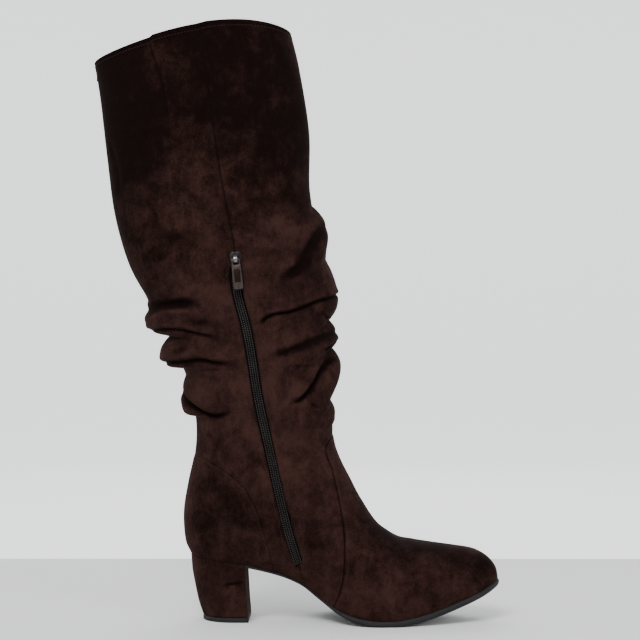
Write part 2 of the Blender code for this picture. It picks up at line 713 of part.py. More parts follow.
def plate(made, plan_medial, plan_lateral, top, bottom):
    """Closed plate between two edges in plan, with top and bottom heights for each."""
    rows = []
    for medial, lateral, z_top, z_bottom in zip(plan_medial, plan_lateral, top, bottom):
        rows.append([
            (medial[0], medial[1], z_bottom), (medial[0], medial[1], z_top),
            (lateral[0], lateral[1], z_top), (lateral[0], lateral[1], z_bottom),
            (medial[0], medial[1], z_bottom),
        ])
    verts = loft(made, rows)
    made.faces.new(verts[0][:4])
    made.faces.new(verts[-1][:4])
    bmesh.ops.remove_doubles(made, verts=made.verts, dist=MERGE)
    bmesh.ops.dissolve_degenerate(made, edges=made.edges, dist=0.00001)


def make_insole(collection):
    """The board inside the upper's lower edge."""
    along = stations(0.014, 0.986)
    inset = WALL + 2 * GAP
    made = bmesh.new()
    bottom = seat_z(along)
    plate(made, outline(along, MEDIAL, inset), outline(along, LATERAL, inset), bottom + INSOLE, bottom)
    return add_object(collection, "insole", mesh_from(made, "insole"), LINING, 0.8)


def make_outsole(collection):
    """The thin sole, toe to heel breast, with a ledge round the forefoot."""
    along = stations(BREAST_SHARE + GAP / FOOT_LENGTH, 0.9995)
    tread = np.clip(seat_column("tread", along), 0, 1)
    ledge = -SOLE_LEDGE * tread
    thick = SOLE_WAIST + (SOLE_FOREFOOT - SOLE_WAIST) * tread
    top = seat_z(along) - GAP
    bottom = np.maximum(seat_z(along) - thick - SOLE_FLAT, 0)
    made = bmesh.new()
    plate(made, outline(along, MEDIAL, ledge), outline(along, LATERAL, ledge), top, bottom)
    return add_object(collection, "outsole", mesh_from(made, "outsole"), SOLE_GREY, 0.6)


def heel_outline(side, inward):
    """Plan points of the heel at shares of the way from the seat's outline to the lift's."""
    along = stations(0.0, BREAST_SHARE)
    seat = outline(along, side, 0)
    share = along / along[-1]
    width = feather_width(along, side) / feather_width(along[-1], side) * HEEL_LIFT_WIDTH / 2
    lift = np.stack([HEEL_LIFT_LENGTH * (share - 0.5), side * width], axis=-1)
    return seat + (lift - seat) * inward


def heel_levels(made, levels):
    """Closed body through outlines of the heel: rows of (inward, heights at the stations)."""
    rings = []
    for inward, heights in levels:
        medial = heel_outline(MEDIAL, inward)
        lateral = heel_outline(LATERAL, inward)
        ring = [(*p, z) for p, z in zip(medial[::-1], heights[::-1])]
        ring += [(*p, z) for p, z in zip(lateral[1:], heights[1:])]
        rings.append(ring + ring[:1])
    verts = loft(made, rings)
    count = len(levels[0][1])
    for ring in (verts[0], verts[-1]):
        medial = ring[:count][::-1]
        lateral = ring[count - 1:2 * count - 1]
        for k in range(count - 1):
            corners = (medial[k], medial[k + 1], lateral[k + 1], lateral[k])
            made.faces.new(corners if k else corners[:3])
    bmesh.ops.remove_doubles(made, verts=made.verts, dist=MERGE)


def make_heel(collection):
    """The covered block heel, from the seat down to the lift."""
    top = seat_z(stations(0.0, BREAST_SHARE)) - GAP
    bottom = HEEL_LIFT + GAP
    levels = [(row.inward, top + (bottom - top) * row.down) for row in HEEL_TAPER]
    made = bmesh.new()
    heel_levels(made, levels)
    return add_object(collection, "heel", mesh_from(made, "heel"), SUEDE, 0.9)


def make_heel_lift(collection):
    """The top lift that the heel stands on."""
    flat = np.zeros(len(stations(0.0, BREAST_SHARE)))
    made = bmesh.new()
    heel_levels(made, [(1.0, flat + HEEL_LIFT), (1.0, flat)])
    return add_object(collection, "heel_lift", mesh_from(made, "heel_lift"), SOLE_GREY, 0.6)


def build():
    """Every piece of the boot in a collection named for it."""
    for old in list(bpy.data.objects):
        bpy.data.objects.remove(old, do_unlink=True)
    parts = bpy.data.collections.new(NAME)
    cutters = bpy.data.collections.new("cutters")
    bpy.context.scene.collection.children.link(parts)
    bpy.context.scene.collection.children.link(cutters)
    make_upper(parts)
    make_insole(parts)
    make_outsole(parts)
    make_heel(parts)
    make_heel_lift(parts)
    make_zip_tape(parts)
    make_zip_chain(parts)
    make_zip_slider(parts, cutters)
    make_zip_pull(parts, cutters)


if __name__ == "__main__":
    build()
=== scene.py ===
"""Dressed slouch boot: suede skin with its folds and creases, lining, stitches, zip,
covered heel and sole, on a pale studio floor.

Metres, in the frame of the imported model: the origin is the middle of the heel lift's
floor face, +X points to the toe, -Y is the inner side with the zip, +Z is up.
"""

import json
import math
from collections import namedtuple
from functools import lru_cache

import bpy
import numpy as np
from bpy.props import FloatProperty, FloatVectorProperty, PointerProperty
from mathutils import Matrix, Vector

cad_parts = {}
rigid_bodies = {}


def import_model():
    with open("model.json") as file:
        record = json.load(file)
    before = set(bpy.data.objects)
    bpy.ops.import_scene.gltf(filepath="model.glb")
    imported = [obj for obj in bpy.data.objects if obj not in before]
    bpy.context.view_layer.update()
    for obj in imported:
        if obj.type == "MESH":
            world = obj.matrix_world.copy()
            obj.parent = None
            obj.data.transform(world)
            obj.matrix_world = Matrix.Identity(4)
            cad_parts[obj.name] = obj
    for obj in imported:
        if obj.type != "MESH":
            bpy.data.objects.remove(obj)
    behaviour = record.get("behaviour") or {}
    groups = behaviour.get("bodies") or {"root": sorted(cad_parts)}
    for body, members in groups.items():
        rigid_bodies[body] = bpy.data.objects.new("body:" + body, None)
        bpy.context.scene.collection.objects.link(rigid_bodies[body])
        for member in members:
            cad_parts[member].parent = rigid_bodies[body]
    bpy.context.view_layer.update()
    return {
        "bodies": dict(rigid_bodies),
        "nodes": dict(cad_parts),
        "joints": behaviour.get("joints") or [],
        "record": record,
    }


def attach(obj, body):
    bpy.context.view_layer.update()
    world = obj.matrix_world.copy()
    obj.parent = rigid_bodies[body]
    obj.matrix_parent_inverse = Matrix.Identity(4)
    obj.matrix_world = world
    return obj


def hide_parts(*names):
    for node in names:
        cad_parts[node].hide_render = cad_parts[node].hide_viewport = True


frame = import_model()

bl_info = {
    "name": "Slouch Boot",
    "version": (1, 0, 0),
    "blender": (4, 5, 0),
    "location": "View3D > Sidebar > Slouch Boot",
    "description": "Builds a knee-high suede slouch boot with its zip, stitches, heel and sole",
    "category": "Add Mesh",
}


def named_rows(fields, *rows):
    """A table whose rows are read by field name."""
    row_type = namedtuple("Row", fields)
    return tuple(row_type(*row) for row in rows)


# Foot and shaft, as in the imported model
FOOT_LENGTH = 0.250
BALL_WIDTH = 0.086
INSTEP_HEIGHT = 0.086
HEEL_PITCH = 0.049
TOE_SPRING = 0.029
SHAFT_HEIGHT = 0.400
SHAFT_LEAN = 0.080
ANKLE_DEPTH = 0.108
ANKLE_WIDTH = 0.075
COLLAR_DEPTH = 0.1615
COLLAR_WIDTH = 0.083
COLLAR_PEAK = 0.0080
WALL = 0.0018
FOLD_DEPTH = 0.010
LAP = 0.0008
LAP_RUN = 0.003
LAP_FADE = 0.1
SOLE_FOREFOOT = 0.005
SOLE_WAIST = 0.002
SOLE_LEDGE = 0.0012
SOLE_FLAT = 0.0004
HEEL_BREAST = 0.0162
HEEL_LIFT_LENGTH = 0.038
HEEL_LIFT_WIDTH = 0.044
HEEL_LIFT = 0.0037
ZIP_BOTTOM = 0.0458
ZIP_TOP = 0.284
SLIDER_MIDDLE = 0.2895
SLIDER_LENGTH = 0.0135
SLIDER_WIDTH = 0.0092
SLIDER_THICKNESS = 0.0024
TUNNEL_HEIGHT = 0.0019
PULL_LENGTH = 0.0220
PULL_WIDTH = 0.0074
PULL_THICKNESS = 0.0013
PULL_BAR = 0.0014
TAPE_GAP = 0.0005
INSOLE = 0.0025
GAP = 0.0003
MERGE = 0.00002
MEDIAL = -1.0
LATERAL = 1.0
BREAST_SHARE = 0.181
SEAT_BACK = HEEL_PITCH + SOLE_FOREFOOT
HEEL_BACK_X = HEEL_BREAST - BREAST_SHARE * FOOT_LENGTH

# Seat and feather line, heel to toe
SEAT = named_rows(
    "along pitch spring medial lateral tread",
    (0.00, 1.000, 0.000, 0.290, 0.290, 0.0),
    (0.10, 0.920, 0.000, 0.312, 0.317, 0.0),
    (0.19, 0.848, 0.000, 0.310, 0.325, 0.0),
    (0.25, 0.775, 0.000, 0.285, 0.315, 0.0),
    (0.31, 0.675, 0.000, 0.250, 0.330, 0.0),
    (0.36, 0.555, 0.000, 0.250, 0.355, 0.0),
    (0.42, 0.335, 0.000, 0.305, 0.400, 0.1),
    (0.48, 0.145, 0.000, 0.385, 0.455, 0.5),
    (0.54, 0.042, 0.000, 0.455, 0.495, 0.9),
    (0.588, 0.006, 0.000, 0.485, 0.512, 1.0),
    (0.668, 0.000, 0.006, 0.480, 0.480, 1.0),
    (0.74, 0.000, 0.120, 0.440, 0.410, 1.0),
    (0.82, 0.000, 0.325, 0.370, 0.315, 1.0),
    (0.90, 0.000, 0.585, 0.290, 0.232, 1.0),
    (0.96, 0.000, 0.810, 0.240, 0.190, 1.0),
    (1.00, 0.000, 1.000, 0.210, 0.165, 1.0),
)
HEEL_ROUND = 0.11
TOE_ROUND = 0.10

# Sections of the foot, toe tip to heel
FOOT = named_rows(
    "along reach rise medial lateral widest top swing",
    (1.000, 0.000, 0.000, 0.000, 0.000, 0.45, 2.0, -0.046),
    (0.990, 0.002, 0.116, 0.105, 0.084, 0.42, 2.1, -0.046),
    (0.965, 0.001, 0.250, 0.186, 0.149, 0.40, 2.3, -0.042),
    (0.920, 0.004, 0.377, 0.267, 0.215, 0.38, 2.4, -0.035),
    (0.850, 0.014, 0.488, 0.360, 0.308, 0.36, 2.4, -0.023),
    (0.756, 0.040, 0.599, 0.453, 0.430, 0.34, 2.4, -0.007),
    (0.668, 0.071, 0.672, 0.500, 0.512, 0.33, 2.4, 0.0),
    (0.588, 0.093, 0.702, 0.506, 0.535, 0.34, 2.3, 0.0),
    (0.510, 0.122, 0.738, 0.477, 0.523, 0.36, 2.2, 0.0),
    (0.430, 0.160, 0.735, 0.436, 0.483, 0.40, 2.1, 0.0),
    (0.340, 0.210, 0.742, 0.407, 0.448, 0.42, 2.0, 0.0),
    (0.250, 0.264, 0.849, 0.401, 0.424, 0.44, 2.0, 0.0),
    (0.181, 0.310, 0.931, 0.407, 0.424, 0.45, 2.0, 0.0),
    (0.110, 0.362, 1.035, 0.419, 0.430, 0.46, 2.0, 0.0),
    (0.035, 0.428, 1.122, 0.424, 0.436, 0.47, 2.0, 0.0),
)

# Sections of the shaft, seat to collar
SHAFT = named_rows(
    "height lean depth rise width",
    (0.000, 0.000, 0.136, 1.210, 0.00),
    (0.030, 0.052, 0.190, 1.151, 0.00),
    (0.085, 0.068, 0.190, 0.988, 0.12),
    (0.145, 0.022, 0.108, 0.814, 0.25),
    (0.202, -0.038, 0.020, 0.674, 0.38),
    (0.260, -0.052, 0.000, 0.581, 0.50),
    (0.328, 0.000, 0.065, 0.430, 0.75),
    (0.390, 0.112, 0.210, 0.326, 1.00),
    (0.455, 0.250, 0.467, 0.256, 1.12),
    (0.520, 0.455, 0.745, 0.233, 1.25),
    (0.590, 0.645, 0.905, 0.210, 1.25),
    (0.690, 0.788, 0.975, 0.233, 1.25),
    (0.802, 0.865, 1.080, 0.267, 1.25),
    (0.928, 0.940, 1.040, 0.290, 1.12),
    (1.000, 1.000, 1.000, 0.290, 1.00),
)
SHAFT_WIDEST = 0.49
SHAFT_TOP = 2.1
HEEL_ROW = len(FOOT)
COLLAR_ROW = HEEL_ROW + len(SHAFT) - 1

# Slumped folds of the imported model: centre 1 is the front and 0 the back, where the folds
# are fuller rolls
BACK = 0
ROLL_FULL = 2.5
ROLL_EDGE = 0.8
FOLDS = named_rows(
    "centre medial lateral top bottom slope out droop peak",
    (1.0, 0.45, 0.75, 0.708, 0.618, 0.25, 0.95, 0.30, 0.45),
    (1.0, 0.50, 0.80, 0.640, 0.478, 0.14, 0.75, 0.45, 0.68),
    (1.0, 0.50, 0.80, 0.480, 0.425, 0.15, 1.05, 0.40, 0.58),
    (1.0, 0.42, 0.85, 0.425, 0.315, 0.22, 1.15, 0.40, 0.45),
    (1.0, 0.35, 0.70, 0.318, 0.262, 0.10, 0.55, 0.20, 0.55),
    (0.0, 0.42, 0.75, 0.516, 0.446, 0.05, 1.25, 0.18, 0.62),
    (0.0, 0.45, 0.70, 0.443, 0.378, 0.02, 1.36, 0.18, 0.56),
    (0.0, 0.40, 0.65, 0.363, 0.284, 0.04, 0.98, 0.30, 0.60),
)
ZIP_CALM = 0.07
PEAK_ROWS = 1.5
PEAK_FORWARD = 1.3
WIDEST_AT = 0.45
LOWEST_ZIP_COLUMN = 0.13

# Seams in the side view, top to bottom
ZIP_SEAM = named_rows(
    "height forward",
    (1.05, -0.139),
    (0.93, -0.113),
    (0.80, -0.085),
    (0.70, -0.057),
    (0.61, -0.029),
    (0.52, -0.019),
    (0.46, 0.006),
    (0.31, 0.047),
    (0.21, 0.082),
    (0.11, 0.117),
    (0.03, 0.149),
    (-0.01, 0.169),
    (-0.06, 0.194),
)
VAMP_SEAM = named_rows(
    "height forward",
    (0.248, 0.294),
    (0.214, 0.259),
    (0.173, 0.278),
    (0.113, 0.300),
    (0.054, 0.316),
    (-0.006, 0.319),
    (-0.065, 0.306),
    (-0.100, 0.284),
)
COUNTER_SEAM = named_rows(
    "height forward",
    (0.200, -0.149),
    (0.180, -0.085),
    (0.152, -0.021),
    (0.112, 0.026),
    (0.043, 0.065),
    (-0.020, 0.090),
)

# Heel block, seat to lift
HEEL_TAPER = named_rows(
    "down inward",
    (0.00, 0.00),
    (0.27, 0.12),
    (0.55, 0.38),
    (0.80, 0.66),
    (1.00, 1.00),
)

# Creases of the suede. Points are (around, height): around in half girths from the front, the inner side
# negative; height in shaft heights above the seat. Depth and width in millimetres, a trough positive; lip
# is how far the cloth above it stands out.
CREASES = named_rows(
    "points depth width lip taper",
    # front, inner side
    (((0.10, 0.68), (-0.11, 0.654), (-0.21, 0.615), (-0.26, 0.586), (-0.33, 0.563),
      (-0.40, 0.550)), 2.6, 4.0, 0.8, 0.25),
    (((0.12, 0.545), (-0.08, 0.530), (-0.207, 0.517), (-0.291, 0.502), (-0.365, 0.489),
      (-0.428, 0.484), (-0.475, 0.473), (-0.50, 0.458)), 2.2, 1.7, 1.0, 0.12),
    (((-0.211, 0.495), (-0.120, 0.480), (-0.02, 0.471)), 0.9, 1.4, 0.5, 0.3),
    (((0.10, 0.460), (0.000, 0.454), (-0.151, 0.441), (-0.261, 0.428), (-0.351, 0.415),
      (-0.431, 0.404), (-0.535, 0.387)), 1.9, 3.0, 0.9, 0.25),
    (((-0.452, 0.437), (-0.42, 0.449), (-0.388, 0.459)), 0.6, 1.3, 0.6, 0.35),
    (((-0.200, 0.412), (-0.150, 0.420), (-0.08, 0.430), (0.06, 0.435)), 2.4, 2.0, 0.8, 0.3),
    (((-0.02, 0.397), (-0.117, 0.389), (-0.191, 0.372), (-0.247, 0.348), (-0.291, 0.329),
      (-0.338, 0.313), (-0.405, 0.307)), 2.8, 2.4, 1.0, 0.22),
    (((-0.441, 0.378), (-0.330, 0.381), (-0.227, 0.380)), 0.5, 1.0, 0.3, 0.3),
    (((-0.278, 0.307), (-0.247, 0.300), (-0.217, 0.296)), 0.8, 1.4, 0.4, 0.35),
    # back, inner side
    (((-1.10, 0.500), (-0.926, 0.499), (-0.829, 0.502), (-0.756, 0.504), (-0.659, 0.509)),
     2.6, 3.4, 0.3, 0.25),
    (((-1.00, 0.478), (-0.873, 0.486), (-0.833, 0.492), (-0.760, 0.490), (-0.676, 0.486)),
     -1.2, 1.8, 0.0, 0.3),
    (((-0.800, 0.470), (-0.720, 0.467), (-0.640, 0.464)), 0.9, 2.6, 0.2, 0.35),
    (((-1.12, 0.462), (-0.993, 0.463), (-0.839, 0.460), (-0.773, 0.454), (-0.709, 0.442),
      (-0.650, 0.435)), 1.8, 1.8, 0.9, 0.25),
    (((-0.865, 0.417), (-0.820, 0.416), (-0.780, 0.421)), 1.0, 2.2, 0.2, 0.35),
    (((-1.10, 0.397), (-0.930, 0.399), (-0.833, 0.396), (-0.746, 0.396), (-0.696, 0.388),
      (-0.605, 0.381)), 2.2, 2.4, 1.0, 0.22),
    (((-0.813, 0.372), (-0.765, 0.366), (-0.719, 0.362)), -0.6, 1.3, 0.0, 0.35),
    (((-1.04, 0.350), (-0.983, 0.341), (-0.903, 0.321), (-0.846, 0.304), (-0.799, 0.289),
      (-0.742, 0.281), (-0.660, 0.290)), 3.2, 2.4, 0.4, 0.2),
    (((-0.809, 0.251), (-0.785, 0.238), (-0.753, 0.227)), 0.7, 1.4, 0.3, 0.35),
    # upper shaft
    (((-0.324, 0.931), (-0.312, 0.885), (-0.294, 0.839)), 0.4, 1.6, 0.0, 0.35),
    (((-0.910, 0.850), (-0.873, 0.804), (-0.860, 0.755), (-0.880, 0.700)), 0.8, 3.0, 0.0, 0.3),
    # outer side
    (((-0.05, 0.600), (0.18, 0.585), (0.38, 0.560), (0.56, 0.545)), 2.0, 3.2, 0.7, 0.25),
    (((0.05, 0.545), (0.26, 0.522), (0.48, 0.498), (0.66, 0.492)), 2.0, 1.8, 0.9, 0.2),
    (((0.04, 0.462), (0.24, 0.446), (0.45, 0.420), (0.62, 0.414)), 2.2, 2.6, 0.9, 0.22),
    (((0.00, 0.395), (0.17, 0.378), (0.34, 0.342), (0.50, 0.322)), 2.5, 2.3, 0.9, 0.22),
    (((0.22, 0.318), (0.36, 0.300), (0.50, 0.296)), 1.1, 2.0, 0.4, 0.3),
    (((1.06, 0.498), (0.88, 0.503), (0.74, 0.512), (0.60, 0.520)), 1.6, 3.0, 0.4, 0.25),
    (((1.05, 0.455), (0.86, 0.450), (0.72, 0.436), (0.58, 0.434)), 2.0, 1.9, 0.9, 0.22),
    (((1.06, 0.398), (0.85, 0.392), (0.70, 0.380), (0.54, 0.376)), 2.2, 2.3, 0.9, 0.22),
    (((1.02, 0.342), (0.90, 0.314), (0.78, 0.290), (0.64, 0.288)), 2.6, 2.4, 0.5, 0.22),
    (((0.40, 0.480), (0.50, 0.466), (0.62, 0.462)), -0.7, 2.2, 0.0, 0.35),
    (((0.30, 0.640), (0.46, 0.620), (0.60, 0.616)), 0.8, 2.6, 0.2, 0.35),
)
CREASE_STEPS = 22
CREASE_DEPTH = 1.35
# In crease widths: how far a crease is felt, where its lip stands and the lip's width
CREASE_REACH = 4.5
LIP_AWAY = 1.6
LIP_WIDTH = 1.2
# Shares of the lip's height: how far it droops, and how strongly a painted highlight lightens it
LIP_DROOP = 0.8
LIP_SHADE = 0.35
# Width beside the zip over which the creases fade out
CREASE_CALM = 0.009

# Seam behind the zip on the upper shaft, and the steps of the collar's edge at both seams
SHAFT_LAP = named_rows(
    "height around",
    (0.80, -0.645),
    (0.90, -0.639),
    (1.02, -0.662),
)
LAP_STEP_AROUND = -0.657
STEP_RUN = 0.0012
LAP_STEP = 0.0014
SEAM_STEP = 0.0010

# Light and dark patches, partly brushed nap and partly painted shade, the painted shade chiefly at the
# upper back and over the vamp: (around, height, reach around, reach in height, turn in degrees, lightness)
PATCHES = named_rows(
    "around height wide tall turn light",
    (-0.90, 0.90, 0.26, 0.20, 0, -0.40),
    (-0.76, 0.83, 0.10, 0.14, 10, -0.20),
    (-0.93, 0.72, 0.10, 0.12, 0, -0.20),
    (-0.25, 0.92, 0.22, 0.16, 0, -0.10),
    (-0.64, 0.76, 0.08, 0.08, 0, 0.25),
    (-0.86, 0.57, 0.12, 0.05, 0, 0.15),
    (-0.40, 0.67, 0.22, 0.08, 0, 0.12),
    (-0.28, 0.00, 0.34, 0.09, 0, -0.30),
    (-0.70, 0.62, 0.10, 0.03, 0, -0.25),
    (-0.45, 0.45, 0.30, 0.16, 0, 0.22),
    (-0.42, 0.14, 0.16, 0.12, 0, 0.20),
    (-0.10, 0.02, 0.10, 0.06, 0, -0.30),
    (-0.20, -0.06, 0.08, 0.05, 0, -0.30),
    (-0.80, 0.15, 0.12, 0.05, 0, -0.25),
    (-0.69, 0.105, 0.14, 0.06, 0, -0.35),
    (-0.75, 0.01, 0.16, 0.05, 0, 0.15),
    (-0.70, 0.26, 0.20, 0.07, 0, 0.15),
)

# Columns of the skin's grid: behind the zip, its edges, before it and round the outer side
BEHIND = 46
BEFORE = 58
ROUND = 100
EDGE_OFFSETS = (-0.0084, -0.0068, -0.0058, -0.0052, -0.0049, -0.0047, -0.0046,
                0.0046, 0.0047, 0.0049, 0.0052, 0.0058, 0.0068, 0.0084)
EDGE_INSETS = (0, -0.0001, -0.0002, -0.0001, 0.0003, 0.0009, 0.0018,
               0.0018, 0.0009, 0.0003, -0.0001, -0.0002, -0.0001, 0)
# Shares of the shaft where the skin's fine rows begin and end, and the runs of the change
FINE_FROM = 0.10
FINE_FROM_RUN = 0.10
FINE_TO = 0.74
FINE_TO_RUN = 0.08
# Largest share of the girth behind the zip that the slot's edge columns may take
SLOT_ROOM = 0.75
# Zip, in metres: tape, teeth and the stitched cords on them
TAPE_HALF = 0.0096
TAPE_COLUMNS = 17
TAPE_THICKNESS = 0.0006
TOOTH = (0.00310, 0.00100, 0.0012)
TOOTH_ROUND = 0.00040
TOOTH_AWAY = 0.00150
TOOTH_DEEP = 0.00098
CORD = (0.00036, 0.00054, 0.00020)
CORDS_AWAY = (0.00085, 0.00265)
CORD_DEEP = 0.00040
# Half outline of the slider's crown, and the bridge's arch with its half width, in millimetres
CROWN = ((3.3, -6.6), (3.7, -2.2), (4.55, 1.2), (4.55, 4.4), (3.5, 6.2), (1.7, 6.7), (0.0, 5.7))
ARCH = named_rows(
    "along out half",
    (4.6, 2.0, 1.25), (3.9, 2.9, 1.35), (2.9, 4.2, 1.5), (1.7, 5.5, 1.6), (0.2, 6.2, 1.6),
    (-1.5, 5.9, 1.55), (-2.6, 4.6, 1.5), (-3.0, 3.0, 1.4), (-3.1, 1.9, 1.4),
)
# Slider's layers: bottom, top and edge radius; the flange's share of the crown's two sizes
CROWN_LAYER = (0.0011, 0.0023, 0.0004)
FLANGE_LAYER = (0.0, 0.0012, 0.0002)
FLANGE_SHARE = (0.86, 0.96)
BRIDGE_THICKNESS = 0.0009
BRIDGE_EDGE = 0.00028
# Tab's eye and inlay: width, length and corner radius, and the distance under the hinge
EYE = (0.0046, 0.0037, 0.0012)
EYE_DOWN = 0.0026
EYE_CUT = 0.002
INLAY = (0.0050, 0.0108, 0.0010)
INLAY_DOWN = 0.0130
INLAY_SUNK = 0.0002
INLAY_PROUD = 0.00018
INLAY_EDGE = 0.00012
TAB_EDGE = 0.00032
# Pull tab: how much longer it is than the solid's, and its lean along the zip
TAB_LONGER = 0.0025
TAB_LEAN = math.radians(3.5)
# Edges past these angles look sharp on metal, are rounded, and are rounded on a plate
SHARP_EDGE = math.radians(35)
BEVEL_EDGE = math.radians(50)
PLATE_EDGE = math.radians(40)
# Stitches: half width and height, how proud they lie and their share of the pitch
STITCH = (0.00026, 0.00022)
STITCH_PROUD = 0.00006
STITCH_SHARE = 0.43
# Stitch rows: distance from the zip, the collar or a seam, top as a share of the shaft, and
# pitch as a share of the zip row's
ZIP_ROW = 0.0070
HEM_ROW = 0.0028
HEM_COLUMN = 60
HEM_PITCH = 1.08
VAMP_ROW = 0.0034
VAMP_ROW_TOP = 0.238
VAMP_PITCH = 0.96
COUNTER_ROW = -0.0016
COUNTER_ROW_TOP = 0.192
COUNTER_ROW_END = 0.001
ZIGZAG_PITCH = 0.0019
ZIGZAG = 0.0009
# Seams of the suede: half width of each groove, the shares of the shaft over which the vamp's
# and the counter's end, and those over which the seam behind the zip begins
ZIP_GROOVE = 0.0009
VAMP_GROOVE = 0.0013
LAP_GROOVE = 0.0012
COUNTER_GROOVE = 0.0009
HEM_GROOVE = 0.0016
VAMP_ENDS = (0.225, 0.262)
COUNTER_ENDS = (0.188, 0.205)
LAP_BEGINS = (0.82, 0.90)
# Lining: steps of its coarser grid, its first section and its distance under the collar
LINING_ROW_STEP = 4
LINING_COLUMN_STEP = 3
LINING_FIRST = 2.0
LINING_UNDER = 0.011
# Room for the tape, the depth under the collar where it starts and the run over which it grows
BEHIND_TAPE = 0.0014
TAPE_ROOM_FROM = 0.012
TAPE_ROOM_RUN = 0.020
# Rows and columns to each side of a crease over which the lining stays behind it
TROUGH_REACH = (5, 4)
# Dent in the heel cover, with painted shade in it: its height at a given distance along the heel, that
# distance, its slope and its two ends
DENT_HEIGHT = 0.0315
DENT_AT = 0.004
DENT_SLOPE = 0.15
DENT_BACK = -0.001
DENT_FRONT = 0.0175
DENT_FADE = 0.004
DENT_WIDTH = 0.0012
DENT_DEPTH = 0.0006
# Columns round the half of the heel and across its breast, rings down it, and its edge radius
HEEL_COLUMNS = 34
BREAST_COLUMNS = 14
HEEL_RINGS = 46
HEEL_EDGE = 0.0012
# Sole and sock: the share of the foot where the toe's curve begins, its length to each tip,
# the sock's heel curve and the radii of both edges
TIP_FROM = 0.90
SOLE_TIP = 0.0995
SOCK_TIP = 0.084
SOCK_HEEL = 0.10
SOLE_EDGE = 0.0014
SOCK_EDGE = 0.0009
# Rolled collar edge and facing: depth inward and rise
COLLAR_ROLL = ((0.0003, 0.0004), (0.0009, 0.00065), (0.0015, 0.0004), (0.0018, 0.0),
               (0.0018, -0.003), (0.0018, -0.008), (0.0019, -0.014))

# Photograph's frame: 640 pixels across at this scale in the boot's middle plane
CAMERA_DISTANCE = 1.10
FRAME_WIDTH = 0.5248
CAMERA_HEIGHT = 0.200
CAMERA_SHIFT = 0.050
CAMERA_X = 0.08
AIM_X = 0.0763
FRAME_MIDDLE = 0.2437
SENSOR = 36.0

# Stage: the floor's rise to the wall, where the wall's paint begins, and the lights
COVE = 0.9
COVE_STEPS = 12
WALL_RISE = 2.2
PAINT_LINE = (0.347, 0.353)
LIT_POINT = Vector((0.06, 0.0, 0.22))
LIGHTS = named_rows(
    "name place size power",
    ("key", (-0.30, -1.30, 1.45), 0.8, 33.0),
    ("fill", (1.30, -1.10, 0.70), 0.9, 7.0),
    ("back", (0.2, 1.2, 1.4), 1.0, 9.0),
)


# Form of the wall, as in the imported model


def curve(keys, values, at):
    """Smooth curve through a table's rows, with each slope from the neighbouring rows."""
    keys = np.asarray(keys, float)
    values = np.asarray(values, float)
    slopes = np.gradient(values, keys)
    at = np.clip(at, keys[0], keys[-1])
    row = np.clip(np.searchsorted(keys, at, side="right") - 1, 0, len(keys) - 2)
    step = keys[row + 1] - keys[row]
    t = (at - keys[row]) / step
    start = (1 + 2 * t) * (1 - t) ** 2 * values[row] + t * (1 - t) ** 2 * step * slopes[row]
    end = t * t * (3 - 2 * t) * values[row + 1] + t * t * (t - 1) * step * slopes[row + 1]
    return start + end


def column(table, name):
    """One named column of a table, as an array."""
    return np.array([getattr(row, name) for row in table], float)


def unit(vectors):
    """Vectors brought to length 1."""
    return vectors / np.linalg.norm(vectors, axis=-1)[..., None]


def seat_column(name, along):
    """A column of the seat table at shares of the foot's length."""
    return curve(column(SEAT, "along"), column(SEAT, name), along)


def seat_x(along):
    """Distance along the floor of a share of the foot's length."""
    return HEEL_BACK_X + np.asarray(along, float) * FOOT_LENGTH


def seat_z(along):
    """Height of the feather line."""
    pitch = seat_column("pitch", along) * HEEL_PITCH
    spring = seat_column("spring", along) * TOE_SPRING
    return SOLE_FOREFOOT + np.maximum(pitch, 0) + np.maximum(spring, 0)


def feather_width(along, side):
    """Half width of the feather line on one side, closed round at heel and toe."""
    name = "medial" if side == MEDIAL else "lateral"
    width = seat_column(name, along) * BALL_WIDTH
    heel = np.clip(1 - np.asarray(along, float) / HEEL_ROUND, 0, 1)
    toe = np.clip((np.asarray(along, float) - 1 + TOE_ROUND) / TOE_ROUND, 0, 1)
    return width * np.sqrt(np.clip(1 - heel ** 2, 0, 1)) * np.sqrt(np.clip(1 - toe ** 2, 0, 1))


def swing(along):
    """Sideways place of the foot's ridge."""
    return curve(column(FOOT, "along")[::-1], column(FOOT, "swing")[::-1], along) * BALL_WIDTH


def blend(at, foot_values, shaft_values):
    """Smooth curve over the section number through foot rows and then shaft rows."""
    values = np.concatenate([foot_values, shaft_values])
    return curve(np.arange(len(values)), values, at)


